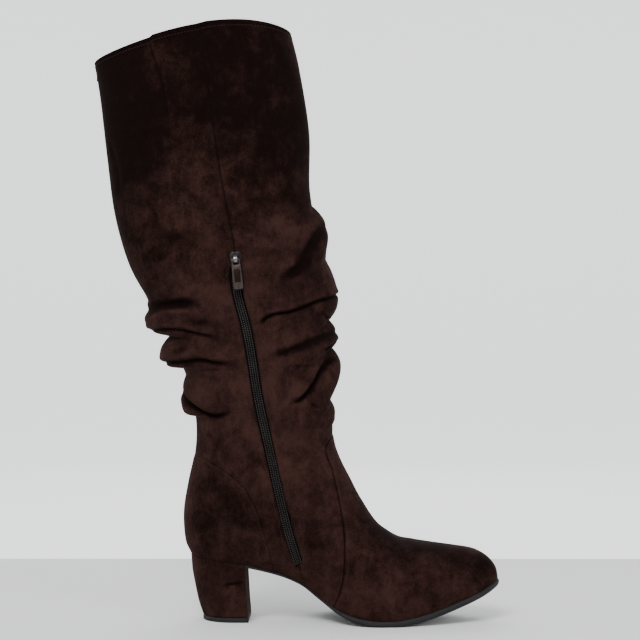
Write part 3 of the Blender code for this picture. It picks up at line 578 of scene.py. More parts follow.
def section(at):
    """Everything that shapes the sections at the numbers in at."""
    along = np.clip(blend(np.minimum(at, HEEL_ROW), column(FOOT, "along"), [0.0]), 0, 1)
    on_shaft = np.clip(at - HEEL_ROW, 0, len(SHAFT) - 1)
    height = curve(np.arange(len(SHAFT)), column(SHAFT, "height"), on_shaft) * SHAFT_HEIGHT
    lean = curve(np.arange(len(SHAFT)), column(SHAFT, "lean"), on_shaft) * SHAFT_LEAN
    depth = ANKLE_DEPTH + column(SHAFT, "depth") * (COLLAR_DEPTH - ANKLE_DEPTH)
    half = (ANKLE_WIDTH + column(SHAFT, "width") * (COLLAR_WIDTH - ANKLE_WIDTH)) / 2
    ones = np.ones(len(SHAFT))
    return {
        "x": seat_x(along) - lean,
        "z": seat_z(along) + height,
        "reach": blend(at, column(FOOT, "reach") * FOOT_LENGTH, depth),
        "rise": blend(at, column(FOOT, "rise") * INSTEP_HEIGHT, column(SHAFT, "rise") * INSTEP_HEIGHT),
        "medial": blend(at, column(FOOT, "medial") * BALL_WIDTH, half),
        "lateral": blend(at, column(FOOT, "lateral") * BALL_WIDTH, half),
        "widest": blend(at, column(FOOT, "widest"), SHAFT_WIDEST * ones),
        "top": blend(at, column(FOOT, "top"), SHAFT_TOP * ones),
        "swing": blend(at, column(FOOT, "swing") * BALL_WIDTH, 0 * ones),
        "feather_medial": np.where(at < HEEL_ROW, feather_width(along, MEDIAL), 0),
        "feather_lateral": np.where(at < HEEL_ROW, feather_width(along, LATERAL), 0),
    }


def girth_point(at, side, girth):
    """Points of the unfolded upper, with the direction out of each section."""
    s = section(at)
    name = "medial" if side == MEDIAL else "lateral"
    feather = s["feather_" + name]
    half = np.maximum(s[name], feather + WALL / 10)
    half = np.where(at > 0, half, MERGE / 10)
    end = np.arccos(np.clip(feather / half, 0, 1))
    low = end * (1 - girth / WIDEST_AT)
    high = np.clip(math.pi / 2 * (girth - WIDEST_AT) / (1 - WIDEST_AT), 0, math.pi / 2)
    power = 2 / s["top"]
    below = girth < WIDEST_AT
    share_low = s["widest"] * (1 - np.sin(low) / np.sin(end))
    share_high = s["widest"] + (1 - s["widest"]) * np.sin(high) ** power
    share = np.where(below, share_low, share_high)
    across = np.where(below, np.cos(low), np.cos(high) ** power) * half
    point = np.stack([
        s["x"] + s["reach"] * share,
        s["swing"] + side * across,
        s["z"] + s["rise"] * share,
    ], axis=-1)
    length = np.maximum(np.hypot(s["reach"], s["rise"]), MERGE)
    out_along = np.where(below, -np.sin(low), np.sin(high))
    out_across = np.where(below, np.cos(low), np.cos(high))
    out = np.stack([
        out_along * s["reach"] / length,
        side * out_across,
        out_along * s["rise"] / length,
    ], axis=-1)
    return point, out


def shaft_share(point):
    """Height above the seat's back edge in shaft heights."""
    return (point[..., 2] - SEAT_BACK) / SHAFT_HEIGHT


def ahead_of(seam, point):
    """Distance of points ahead of a seam in the side view."""
    forward = curve(column(seam, "height")[::-1], column(seam, "forward")[::-1], shaft_share(point))
    return point[..., 0] - HEEL_BREAST - forward * FOOT_LENGTH


def lap_shift(point, out):
    """Raised wall of the vamp and the heel counter."""
    height = shaft_share(point)
    low_enough = np.clip((VAMP_SEAM[0].height - height) * SHAFT_HEIGHT / LAP_RUN, 0, 1)
    vamp = np.clip(ahead_of(VAMP_SEAM, point) / LAP_RUN + 0.5, 0, 1) * low_enough
    under_top = np.clip((COUNTER_SEAM[0].height - height) * SHAFT_HEIGHT / LAP_RUN, 0, 1)
    counter = np.clip(0.5 - ahead_of(COUNTER_SEAM, point) / LAP_RUN, 0, 1) * under_top
    return out * (np.maximum(vamp, counter) * LAP)[..., None]


def collar_shift(at, point):
    """Rise of the collar's edge at the sides of the shaft."""
    s = section(at)
    share = np.clip((point[..., 0] - s["x"]) / np.maximum(s["reach"], MERGE), 0, 1)
    near = np.clip((at - COLLAR_ROW + PEAK_ROWS) / PEAK_ROWS, 0, 1) ** 2
    return COLLAR_PEAK * near * np.sin(math.pi * share ** PEAK_FORWARD)


def seam_girth(at):
    """Girth at which the inner side crosses the zip's seam."""
    low = np.full(np.shape(at), 0.02)
    high = np.full(np.shape(at), 0.98)
    for _ in range(26):
        middle = (low + high) / 2
        point, _ = girth_point(at, MEDIAL, middle)
        ahead = ahead_of(ZIP_SEAM, point) > 0
        high = np.where(ahead, middle, high)
        low = np.where(ahead, low, middle)
    return np.maximum((low + high) / 2, LOWEST_ZIP_COLUMN)


def fold_shift(point, out, side, girth, calm):
    """Displacement of the slumped folds at unfolded points."""
    height = shaft_share(point)
    shift = np.zeros_like(point)
    for fold in FOLDS:
        reach = fold.medial if side == MEDIAL else fold.lateral
        away = np.abs(girth - fold.centre)
        top = fold.top - fold.slope * away
        down = np.clip((top - height) / (fold.top - fold.bottom), 0, 1)
        power = math.log(0.5) / math.log(fold.peak)
        bulge = np.sin(math.pi * down ** power) ** 0.85
        if fold.centre == BACK:
            bulge = (1 - np.abs(2 * down ** power - 1) ** ROLL_FULL) ** ROLL_EDGE
        round_side = np.cos(math.pi / 2 * np.clip(away / reach, 0, 1)) ** 2
        amount = bulge * round_side * calm * FOLD_DEPTH
        shift += out * (fold.out * amount)[..., None]
        shift[..., 2] -= fold.droop * amount
    return shift


def upper_point(at, side, girth, zip_girth):
    """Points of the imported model's outer face."""
    point, out = girth_point(at, side, girth)
    calm = 1.0
    if side == MEDIAL:
        calm = 1 - np.exp(-((girth - zip_girth) / ZIP_CALM) ** 2)
    off_feather = np.clip(girth / LAP_FADE + np.clip(at - HEEL_ROW, 0, 1), 0, 1)
    laps = lap_shift(point, out) * (off_feather * np.clip(at, 0, 1))[..., None]
    shift = fold_shift(point, out, side, girth, calm) + laps
    shift[..., 2] += collar_shift(at, point)
    return point + shift


def zip_columns(at, offsets):
    """Girths at distances across the zip's seam, ahead of it where positive."""
    middle = seam_girth(at)
    small = 0.01
    ahead, _ = girth_point(at, MEDIAL, middle + small)
    behind, _ = girth_point(at, MEDIAL, middle - small)
    per_girth = np.linalg.norm(ahead - behind, axis=-1) / (2 * small)
    return middle[:, None] + np.asarray(offsets, float)[None, :] / per_girth[:, None]


def wall_frame(at, girth, seam):
    """Points of the inner side's outer face, with the unit normals out of it."""
    small = 0.004
    point = upper_point(at, MEDIAL, girth, seam)
    up = upper_point(at + small, MEDIAL, girth, seam) - upper_point(at - small, MEDIAL, girth, seam)
    ahead = upper_point(at, MEDIAL, girth + small, seam) - upper_point(at, MEDIAL, girth - small, seam)
    normal = unit(np.cross(ahead, up))
    return point, np.where(normal[..., 1:2] > 0, -normal, normal)


def slider_frame():
    """World matrix of the slider: X across the zip, Y up along it, Z out of the wall."""
    at = np.linspace(HEEL_ROW, COLLAR_ROW, 2000)
    seam = seam_girth(at)
    height = upper_point(at, MEDIAL, seam, seam)[:, 2]
    here = np.array([np.interp(SLIDER_MIDDLE, height, at)])
    point, normal = wall_frame(here, seam_girth(here), seam_girth(here))
    near = np.interp(SLIDER_MIDDLE + SLIDER_LENGTH / 2 * np.array([-1.0, 1.0]), height, at)
    ends = upper_point(near, MEDIAL, seam_girth(near), seam_girth(near))
    out = Vector(normal[0])
    up = Vector(ends[1] - ends[0]).normalized()
    out = (out - up * out.dot(up)).normalized()
    across = up.cross(out)
    centre = Vector(point[0])
    girths = zip_columns(near, [-SLIDER_WIDTH / 2, 0, SLIDER_WIDTH / 2])
    corners = [upper_point(near, MEDIAL, girths[:, k], seam_girth(near)) for k in range(3)]
    proud = max((Vector(p) - centre).dot(out) for rows in corners for p in rows)
    origin = centre + out * (max(proud, 0) + GAP)
    return Matrix.Translation(origin) @ Matrix((across, up, out)).transposed().to_4x4()


def outline(along, side, inset):
    """Plan points of the feather line moved inward by inset, on one side."""
    step = 0.0005
    low = np.clip(along - step, 0, 1)
    high = np.clip(along + step, 0, 1)
    x = seat_x(along)
    y = swing(along) + side * feather_width(along, side)
    dx = seat_x(high) - seat_x(low)
    dy = swing(high) - swing(low) + side * (feather_width(high, side) - feather_width(low, side))
    length = np.hypot(dx, dy)
    return np.stack([x + side * dy / length * inset, y - side * dx / length * inset], axis=-1)


# Creases, nap and painted shade of the suede


def smooth(value):
    """Soft step from 0 to 1."""
    value = np.clip(value, 0, 1)
    return value * value * (3 - 2 * value)


def crease_amounts(around, height, half_girth):
    """Outward displacement and droop of the listed creases, in metres, with the painted shade of each
    trough and the painted highlight of each lip."""
    out = np.zeros_like(around)
    droop = np.zeros_like(around)
    shade = np.zeros_like(around)
    for crease in CREASES:
        points = np.array(crease.points)
        step = np.linspace(0, 1, CREASE_STEPS)
        keys = np.linspace(0, 1, len(points))
        path = np.stack([curve(keys, points[:, 0], step), curve(keys, points[:, 1], step)], axis=-1)
        reach = CREASE_REACH * crease.width / 1000
        near = np.abs(height - path[:, 1].mean()) < np.ptp(path[:, 1]) / 2 + reach / SHAFT_HEIGHT
        if not near.any():
            continue
        a, h, g = around[near], height[near], half_girth[near]
        best = np.full(a.shape, 1e9)
        where = np.zeros(a.shape)
        above = np.zeros(a.shape)
        for k in range(CREASE_STEPS - 1):
            start, end = path[k], path[k + 1]
            du = ((a - start[0] + 1) % 2 - 1) * g
            dv = (h - start[1]) * SHAFT_HEIGHT
            eu = (end[0] - start[0]) * g
            ev = (end[1] - start[1]) * SHAFT_HEIGHT
            t = np.clip((du * eu + dv * ev) / (eu * eu + ev * ev), 0, 1)
            pu, pv = du - t * eu, dv - t * ev
            distance = np.hypot(pu, pv)
            closer = distance < best
            best = np.where(closer, distance, best)
            where = np.where(closer, (k + t) / (CREASE_STEPS - 1), where)
            above = np.where(closer, np.where(pv > 0, 1.0, -1.0), above)
        width = crease.width / 1000
        ends = smooth(where / crease.taper) * smooth((1 - where) / crease.taper)
        trough = np.exp(-(best / width) ** 2) * ends * CREASE_DEPTH
        lip = np.exp(-((best * above - LIP_AWAY * width) / (LIP_WIDTH * width)) ** 2) * ends * CREASE_DEPTH
        out[near] += (crease.lip * lip - crease.depth * trough) / 1000
        droop[near] += crease.lip * lip * LIP_DROOP / 1000
        # Painted shade in the trough, painted highlight on the lip above it
        shade[near] += LIP_SHADE * crease.lip * lip - crease.depth * trough
    return out, droop, shade


def nap_and_painted_shade(around, height):
    """Light and dark patches of the suede, partly brushed nap and partly painted shade."""
    shade = np.zeros_like(around)
    for patch in PATCHES:
        du = (around - patch.around + 1) % 2 - 1
        dv = height - patch.height
        turn = math.radians(patch.turn)
        along = du * math.cos(turn) + dv * math.sin(turn)
        across = dv * math.cos(turn) - du * math.sin(turn)
        shade += patch.light * np.exp(-(along / patch.wide) ** 2 - (across / patch.tall) ** 2)
    return shade


def skin_point(at, side, girth, zip_girth, half_girth):
    """Points of the suede's outer face with its creases, and the crease shading."""
    flat, out = girth_point(at, side, girth)
    around = side * (1 - girth)
    height = shaft_share(flat)
    amount, droop, shade = crease_amounts(around, height, half_girth)
    calm = 1.0
    if side == MEDIAL:
        calm = 1 - np.exp(-((girth - zip_girth) * half_girth / CREASE_CALM) ** 2)
    point = upper_point(at, side, girth, zip_girth) + out * (amount * calm)[..., None]
    point[..., 2] -= droop * calm
    if side == MEDIAL:
        near_edge = smooth((height - 0.93) / 0.06) * smooth((1 - girth) / 0.35)
        cut = smooth((around - LAP_STEP_AROUND) * half_girth / STEP_RUN) * LAP_STEP
        cut += smooth((girth - zip_girth) * half_girth / STEP_RUN + 0.5) * SEAM_STEP
        point[..., 2] += near_edge * cut
    return point, out, shade * calm


def skin_rows(fine, coarse):
    """Section numbers of the skin's rows: fine spacing among the folds, coarse elsewhere."""
    at = np.linspace(0, COLLAR_ROW, 6000)
    seam = seam_girth(at)
    longest = np.zeros(len(at) - 1)
    for side, girth in ((MEDIAL, 0.05), (MEDIAL, 0.6), (MEDIAL, 1.0)):
        line = upper_point(at, side, np.full(len(at), girth), seam)
        longest = np.maximum(longest, np.linalg.norm(np.diff(line, axis=0), axis=-1))
    share = section(at)["z"][1:] / SHAFT_HEIGHT - SEAT_BACK / SHAFT_HEIGHT
    share = np.where(at[1:] > HEEL_ROW, share, -1)
    folded = smooth((share - FINE_FROM) / FINE_FROM_RUN) * smooth((FINE_TO - share) / FINE_TO_RUN)
    spacing = coarse + (fine - coarse) * folded
    total = np.concatenate([[0], np.cumsum(longest / spacing)])
    count = int(round(total[-1]))
    rows = np.interp(np.linspace(0, total[-1], count), total, at)
    rows[0] = 0.0
    rows[-1] = COLLAR_ROW
    return rows


def half_girths(at):
    """Length of the inner half of each section, in metres."""
    girth = np.linspace(0, 1, 40)
    points = np.stack([girth_point(at, MEDIAL, np.full(len(at), g))[0] for g in girth], axis=1)
    return np.linalg.norm(np.diff(points, axis=1), axis=-1).sum(axis=1)


# Shader expressions


def math_method(operation, swapped=False):
    """An operator of Value that adds a Math node."""

    def method(self, other):
        pair = (other, self) if swapped else (self, other)
        return self.math(operation, *pair)

    return method


class Value:
    """A shader socket. An expression on values adds its Math nodes."""

    __add__ = math_method("ADD")
    __radd__ = math_method("ADD", True)
    __sub__ = math_method("SUBTRACT")
    __rsub__ = math_method("SUBTRACT", True)
    __mul__ = math_method("MULTIPLY")
    __rmul__ = math_method("MULTIPLY", True)

    def __init__(self, shader, socket):
        self.shader = shader
        self.socket = socket

    def math(self, operation, first, second=0.0):
        """A Math node on one or two values."""
        return self.shader.node("ShaderNodeMath", {"operation": operation}, {0: first, 1: second})

    def __neg__(self):
        return self * -1.0

    def size(self):
        """Absolute value."""
        return self.math("ABSOLUTE", self)

    def least(self, other):
        """The lower of two values."""
        return self.math("MINIMUM", self, other)

    def wave(self, pitch):
        """Cosine with this pitch, from -1 to 1."""
        return self.math("COSINE", self * (2 * math.pi / pitch))

    def step(self, low, high):
        """Soft step from 0 at low to 1 at high."""
        settings = {"interpolation_type": "SMOOTHSTEP", "clamp": True}
        values = {"Value": self, "From Min": low, "From Max": high, "To Min": 0.0, "To Max": 1.0}
        return self.shader.node("ShaderNodeMapRange", settings, values)

    def line(self, width):
        """1 on the line where the value is nought, fading out over a width to each side."""
        return 1.0 - self.size().step(0.0, width)


class Shader:
    """A material and the nodes that its expressions add."""

    def __init__(self, name, **fixed):
        self.material = bpy.data.materials.new(name)
        self.material.use_nodes = True
        self.tree = self.material.node_tree
        self.surface = self.tree.nodes["Principled BSDF"]
        for key, value in fixed.items():
            self.surface.inputs[key.replace("_", " ")].default_value = value
        self.place = self.node("ShaderNodeTexCoord", {}, {}, "Object")

    def node(self, kind, settings, values, output=0):
        """A node of a type, with its settings and the values or links of its sockets."""
        made = self.tree.nodes.new(kind)
        for key, value in settings.items():
            setattr(made, key, value)
        for key, value in values.items():
            socket = made.inputs[key]
            if isinstance(value, Value):
                self.tree.links.new(value.socket, socket)
            elif value is not None:
                socket.default_value = value
        return Value(self, made.outputs[output])

    def attribute(self, name):
        """A float attribute of the piece."""
        return self.node("ShaderNodeAttribute", {"attribute_name": name}, {}, "Fac")

    def axis(self, name):
        """One axis of the object's own place."""
        return self.node("ShaderNodeSeparateXYZ", {}, {0: self.place}, name)

    def noise(self, size, detail=3.0, roughness=0.55, distortion=0.0, stretch=None):
        """Noise with features of about a size in metres."""
        place = self.place
        if stretch is not None:
            settings = {"operation": "MULTIPLY"}
            place = self.node("ShaderNodeVectorMath", settings, {0: place, 1: stretch})
        values = {
            "Vector": place, "Scale": 1.0 / size, "Detail": detail,
            "Roughness": roughness, "Distortion": distortion,
        }
        return self.node("ShaderNodeTexNoise", {}, values)

    def mix(self, factor, first, second):
        """A mix of two colours."""
        colours = [c if isinstance(c, Value) else (*c, 1.0) for c in (first, second)]
        settings = {"data_type": "RGBA"}
        return self.node("ShaderNodeMix", settings, {0: factor, 6: colours[0], 7: colours[1]}, 2)

    def bump(self, height, distance, strength=1.0, under=None):
        """A Bump node for a height from 0 to 1 times a distance."""
        values = {"Height": height, "Distance": distance, "Strength": strength, "Normal": under}
        return self.node("ShaderNodeBump", {}, values)

    def finish(self, **links):
        """Link values to the surface's sockets and return the material."""
        for key, value in links.items():
            self.tree.links.new(value.socket, self.surface.inputs[key.replace("_", " ")])
        return self.material


# Small tools for the pieces


def clear_selection():
    """Leave edit mode and deselect everything."""
    if bpy.context.object and bpy.context.object.mode != "OBJECT":
        bpy.ops.object.mode_set(mode="OBJECT")
    bpy.ops.object.select_all(action="DESELECT")


def activate(piece):
    """Make one object the only selected and active one."""
    clear_selection()
    piece.select_set(True)
    bpy.context.view_layer.objects.active = piece
    return piece


def named(piece, name):
    """Name an object and its mesh."""
    piece.name = piece.data.name = name
    return piece


def stretched(scale):
    """The active object with its scale applied."""
    piece = bpy.context.object
    piece.scale = scale
    bpy.ops.object.transform_apply(location=False, rotation=False, scale=True)
    return piece


def bead(scale, rings):
    """A small sphere stretched to its three half sizes."""
    clear_selection()
    bpy.ops.mesh.primitive_uv_sphere_add(segments=6, ring_count=rings, radius=1.0)
    return stretched(scale)


def grid_piece(name, points, values=None):
    """A primitive grid laid on rows of points. values holds float attributes on the grid."""
    rows, columns = points.shape[:2]
    clear_selection()
    bpy.ops.mesh.primitive_grid_add(x_subdivisions=columns - 1, y_subdivisions=rows - 1, size=2.0)
    piece = named(bpy.context.object, name)
    mesh = piece.data
    flat = np.empty(len(mesh.vertices) * 3, np.float32)
    mesh.vertices.foreach_get("co", flat)
    flat = flat.reshape(-1, 3)
    col = np.rint((flat[:, 0] + 1) / 2 * (columns - 1)).astype(int)
    row = np.rint((flat[:, 1] + 1) / 2 * (rows - 1)).astype(int)
    mesh.vertices.foreach_set("co", points[row, col].astype(np.float32).ravel())
    for key, value in (values or {}).items():
        layer = mesh.attributes.new(key, "FLOAT", "POINT")
        layer.data.foreach_set("value", value[row, col].astype(np.float32).ravel())
    mesh.update()
    return piece


def delete_faces(piece, chosen):
    """Delete the faces whose numbers are chosen, in edit mode."""
    activate(piece)
    mesh = piece.data
    flags = np.zeros(len(mesh.polygons), bool)
    flags[chosen] = True
    mesh.vertices.foreach_set("select", np.zeros(len(mesh.vertices), bool))
    mesh.edges.foreach_set("select", np.zeros(len(mesh.edges), bool))
    mesh.polygons.foreach_set("select", flags)
    bpy.ops.object.mode_set(mode="EDIT")
    bpy.ops.mesh.select_mode(type="FACE")
    bpy.ops.mesh.delete(type="FACE")
    bpy.ops.object.mode_set(mode="OBJECT")


def weld(piece, distance=MERGE):
    """Merge doubles over the whole piece."""
    activate(piece)
    bpy.ops.object.mode_set(mode="EDIT")
    bpy.ops.mesh.select_mode(type="VERT")
    bpy.ops.mesh.select_all(action="SELECT")
    bpy.ops.mesh.remove_doubles(threshold=distance)
    bpy.ops.object.mode_set(mode="OBJECT")


def finish_modifiers(piece):
    """Apply every modifier of a piece."""
    activate(piece)
    for step in list(piece.modifiers):
        bpy.ops.object.modifier_apply(modifier=step.name)
    return piece


def modifier(piece, kind, **settings):
    """Add a modifier with its settings."""
    step = piece.modifiers.new(kind.lower(), kind)
    for key, value in settings.items():
        setattr(step, key, value)
    return step


def cap_holes(piece):
    """Close every open edge loop of a piece."""
    activate(piece)
    bpy.ops.object.mode_set(mode="EDIT")
    bpy.ops.mesh.select_mode(type="VERT")
    bpy.ops.mesh.select_all(action="DESELECT")
    bpy.ops.mesh.select_non_manifold()
    bpy.ops.mesh.edge_face_add()
    bpy.ops.mesh.select_all(action="SELECT")
    bpy.ops.mesh.normals_make_consistent(inside=False)
    bpy.ops.object.mode_set(mode="OBJECT")


def plate_piece(name, shape, low, high, round_edge, segments=2):
    """A plate with an outline in plan, extruded from low to high, with rounded edges."""
    clear_selection()
    bpy.ops.mesh.primitive_circle_add(vertices=len(shape), radius=1.0, fill_type="NGON")
    piece = named(bpy.context.object, name)
    for vert, (x, y) in zip(piece.data.vertices, shape):
        vert.co = (x, y, low)
    bpy.ops.object.mode_set(mode="EDIT")
    bpy.ops.mesh.select_all(action="SELECT")
    bpy.ops.mesh.extrude_region_move(TRANSFORM_OT_translate={"value": (0, 0, high - low)})
    bpy.ops.mesh.select_all(action="SELECT")
    bpy.ops.mesh.normals_make_consistent(inside=False)
    bpy.ops.object.mode_set(mode="OBJECT")
    if round_edge:
        modifier(piece, "BEVEL", width=round_edge, segments=segments, limit_method="ANGLE",
                 angle_limit=PLATE_EDGE)
        finish_modifiers(piece)
    return piece


def join(pieces, name):
    """Join pieces into one."""
    activate(pieces[0])
    for piece in pieces[1:]:
        piece.select_set(True)
    bpy.ops.object.join()
    return named(bpy.context.object, name)


def rounded(width, length, radius, steps=4):
    """Outline of a rectangle with rounded corners round the origin."""
    points = []
    for k, (sx, sy) in enumerate(((1, 1), (-1, 1), (-1, -1), (1, -1))):
        for step in range(steps + 1):
            angle = math.pi / 2 * (k + step / steps)
            x = sx * (width / 2 - radius) + radius * math.cos(angle)
            points.append((x, sy * (length / 2 - radius) + radius * math.sin(angle)))
    return points


def copies(name, pattern, origins, along, out):
    """One mesh of copies of a pattern: its Y lies along and its Z points out."""
    mesh = pattern.data
    local = np.array([v.co for v in mesh.vertices])
    faces = [list(p.vertices) for p in mesh.polygons]
    along = unit(along)
    across = unit(np.cross(along, out))
    out = np.cross(across, along)
    places = (origins[:, None] + local[None, :, 0, None] * across[:, None]
              + local[None, :, 1, None] * along[:, None] + local[None, :, 2, None] * out[:, None])
    every = [[k + n * len(local) for k in face] for n in range(len(origins)) for face in faces]
    made = bpy.data.meshes.new(name)
    made.from_pydata(places.reshape(-1, 3).tolist(), [], every)
    piece = bpy.data.objects.new(name, made)
    bpy.context.scene.collection.objects.link(piece)
    bpy.data.objects.remove(pattern, do_unlink=True)
    return piece


def even(path, normals, pitch, shift=0.0):
    """Places at an even pitch along a path, with the direction and normal at each."""
    steps = np.linalg.norm(np.diff(path, axis=0), axis=-1)
    total = np.concatenate([[0], np.cumsum(steps)])
    at = np.arange(pitch * (0.5 + shift), total[-1], pitch)
    places = np.stack([np.interp(at, total, path[:, k]) for k in range(3)], axis=-1)
    out = np.stack([np.interp(at, total, normals[:, k]) for k in range(3)], axis=-1)
    ahead = np.stack([np.interp(at + pitch / 2, total, path[:, k]) for k in range(3)], axis=-1)
    back = np.stack([np.interp(at - pitch / 2, total, path[:, k]) for k in range(3)], axis=-1)
    return places, ahead - back, unit(out)


def seam_distance(seam, points):
    """Distance from a side-view seam, measured on the surface of a grid of points."""
    ahead = ahead_of(seam, points)
    per_row = np.linalg.norm(np.gradient(points, axis=0), axis=-1)
    per_column = np.linalg.norm(np.gradient(points, axis=1), axis=-1)
    slope = np.hypot(
        np.gradient(ahead, axis=0) / np.maximum(per_row, MERGE),
        np.gradient(ahead, axis=1) / np.maximum(per_column, MERGE),
    )
    return ahead / np.maximum(slope, 0.2)


def dress(piece, shader, body, slot, *nodes):
    """Give a piece its material and body, and hide the nodes that it stands for; slot is not used."""
    piece.data.materials.clear()
    piece.data.materials.append(shader)
    piece.data.shade_smooth()
    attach(piece, body)
    if nodes:
        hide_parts(*nodes)
    return piece


def place_metal(pieces, matrix):
    """Put metal pieces in place and keep their sharp edges."""
    for piece in pieces:
        piece.data.transform(matrix)
        piece.data.shade_flat()
        activate(piece)
        bpy.ops.object.shade_smooth_by_angle(angle=SHARP_EDGE)


# Sizes and colours that a user would change


class SkinSettings(bpy.types.PropertyGroup):
    """Suede and its mesh."""

    fine_rows: FloatProperty(
        name="Fold mesh spacing", description="Row spacing of the skin among the folds",
        default=0.00120, min=0.0005, unit="LENGTH")
    plain_rows: FloatProperty(
        name="Plain mesh spacing", description="Row spacing of the skin away from the folds",
        default=0.0022, min=0.0005, unit="LENGTH")
    # Painted shade and painted highlights on the suede also move its tone between these two colours
    light: FloatVectorProperty(
        name="Light nap", description="Suede with its nap brushed up",
        default=(0.0335, 0.0143, 0.0115), min=0.0, max=1.0, subtype="COLOR")
    dark: FloatVectorProperty(
        name="Dark nap", description="Suede with its nap brushed down",
        default=(0.0036, 0.0013, 0.0010), min=0.0, max=1.0, subtype="COLOR")


class TrimSettings(bpy.types.PropertyGroup):
    """Zip, threads and rubber."""

    pitch: FloatProperty(
        name="Coil pitch", description="Distance from tooth to tooth along the zip",
        default=0.0018, min=0.0008, max=0.004, unit="LENGTH")
    stitch: FloatProperty(
        name="Stitch length", description="Pitch of the stitch rows beside the zip",
        default=0.0025, min=0.001, max=0.006, unit="LENGTH")
    metal: FloatVectorProperty(
        name="Slider metal", description="Plating of the slider's body",
        default=(0.023, 0.021, 0.021), min=0.0, max=1.0, subtype="COLOR")
    # Much lighter than the body's plating: a painted highlight down the bridge
    bridge: FloatVectorProperty(
        name="Bridge metal", description="Polished bridge of the slider",
        default=(0.190, 0.180, 0.178), min=0.0, max=1.0, subtype="COLOR")
    tab: FloatVectorProperty(
        name="Tab metal", description="Plating of the pull tab's rim",
        default=(0.060, 0.047, 0.043), min=0.0, max=1.0, subtype="COLOR")
    thread: FloatVectorProperty(
        name="Thread", description="Light tone of the sewing thread",
        default=(0.024, 0.0135, 0.0110), min=0.0, max=1.0, subtype="COLOR")
    rubber: FloatVectorProperty(
        name="Rubber", description="Light tone of the sole and the top lift",
        default=(0.020, 0.0195, 0.0205), min=0.0, max=1.0, subtype="COLOR")


class StageSettings(bpy.types.PropertyGroup):
    """Floor, wall and lights."""

    radius: FloatProperty(
        name="Floor radius", description="Radius of the floor before it rises",
        default=2.6, min=1.0, unit="LENGTH")
    floor: FloatVectorProperty(
        name="Floor", description="Colour of the floor near the boot",
        default=(0.74, 0.74, 0.735), min=0.0, max=1.0, subtype="COLOR")
    wall: FloatVectorProperty(
        name="Backdrop", description="Colour of the floor and backdrop behind the boot",
        default=(0.74, 0.745, 0.75), min=0.0, max=1.0, subtype="COLOR")


# Materials


def suede(name, seams):
    """Brushed suede: nap in two tones with patches, a fine grain, painted shade in the crease troughs and
    painted highlight on their lips. The upper's suede also has the grooves of its seams, with painted
    shade in them and painted highlight beside them, nap patches partly of painted shade, and painted shade
    towards the top of the shaft."""
    settings = bpy.context.scene.boot_skin
    made = Shader(
        name, Specular_IOR_Level=0.05, Sheen_Weight=0.035, Sheen_Roughness=0.4,
        Sheen_Tint=(0.60, 0.36, 0.30, 1.0))
    broad = made.noise(0.055, 2.0, 0.5, 0.2)
    patch = made.noise(0.017, 4.0, 0.66, 0.35)
    streak = made.noise(0.0045, 4.0, 0.7, 0.3, (1.0, 1.0, 0.6))
    grain = made.noise(0.0012, 3.0, 0.7)
    fibre = made.noise(0.00045, 2.0, 0.6)
    # On the upper, painted shade in the crease troughs and painted highlight on their lips; on the heel,
    # painted shade in its dent
    crease = made.attribute("crease")
    tone = 0.52 + (broad - 0.5) * 0.8 + (patch - 0.5) * 1.2 + (streak - 0.5) * 0.7
    tone = tone + crease * 0.22 + (grain - 0.5) * 0.75 + (fibre - 0.5) * 0.55
    height = grain * 0.6 + fibre * 0.35 + streak * 0.6
    groove = None
    if seams:
        nap = made.attribute("nap")
        side = made.attribute("zip")
        vamp = made.attribute("vamp")
        counter = made.attribute("counter")
        lap = made.attribute("lap")
        level = made.attribute("height")
        collar = made.attribute("collar")
        front = 1.0 - level.step(*VAMP_ENDS)
        heel = 1.0 - level.step(*COUNTER_ENDS)
        pressed = level.step(*LAP_BEGINS)
        # cut marks the grooves of the seams, which the tone below darkens with painted shade
        cut = side.line(ZIP_GROOVE) * 0.6 + vamp.line(VAMP_GROOVE) * front
        cut = cut + lap.line(LAP_GROOVE) * pressed * 0.5
        cut = cut + counter.line(COUNTER_GROOVE) * heel * 0.4
        # pad marks the raised cloth beside the zip and vamp seams, lightened below with a painted
        # highlight; hem marks the groove under the collar, darkened with painted shade
        pad = (side.size() - 0.0030).line(0.0026) * 0.5 + (vamp - 0.0028).line(0.0022) * front * 0.6
        hem = (collar - HEM_ROW).line(HEM_GROOVE)
        # nap adds patches partly of brushed nap and partly of painted shade; painted shade darkens the top
        # of the shaft and the grooves
        tone = tone + nap * 0.55 - level.step(0.30, 0.95) * 0.33 - cut.least(1.0) * 0.42
        tone = tone + pad * 0.10 - hem * 0.12
        # Painted highlight on the raised edge beside the seam behind the zip
        tone = tone + (lap - 0.0022).line(0.0020) * pressed * 0.10
        groove = made.bump(1.0 + pad * 0.4 - cut.least(1.0) - hem * 0.35, 0.0009, 0.9)
    colour = made.mix(tone.step(0.02, 1.05), tuple(settings.dark), tuple(settings.light))
    return made.finish(
        Base_Color=colour,
        Roughness=0.98 - tone.step(0.3, 1.1) * 0.14,
        Normal=made.bump(height, 0.0004, 0.6, groove),
    )


def lining_cloth(name):
    """Brushed tricot lining, dark brown with a fine knit."""
    made = Shader(name, Specular_IOR_Level=0.1, Sheen_Weight=0.05)
    ribs = made.axis("Z").wave(0.0012) * 0.5 + 0.5
    patch = made.noise(0.03, 3.0)
    fluff = made.noise(0.0006, 2.0)
    tone = ribs * 0.3 + patch * 0.5 + fluff * 0.3
    colour = made.mix(tone.step(0.1, 1.0), (0.013, 0.0088, 0.0072), (0.038, 0.027, 0.022))
    return made.finish(Base_Color=colour, Roughness=0.95 - patch * 0.1,
                       Normal=made.bump(ribs * 0.5 + fluff, 0.0003, 0.5))


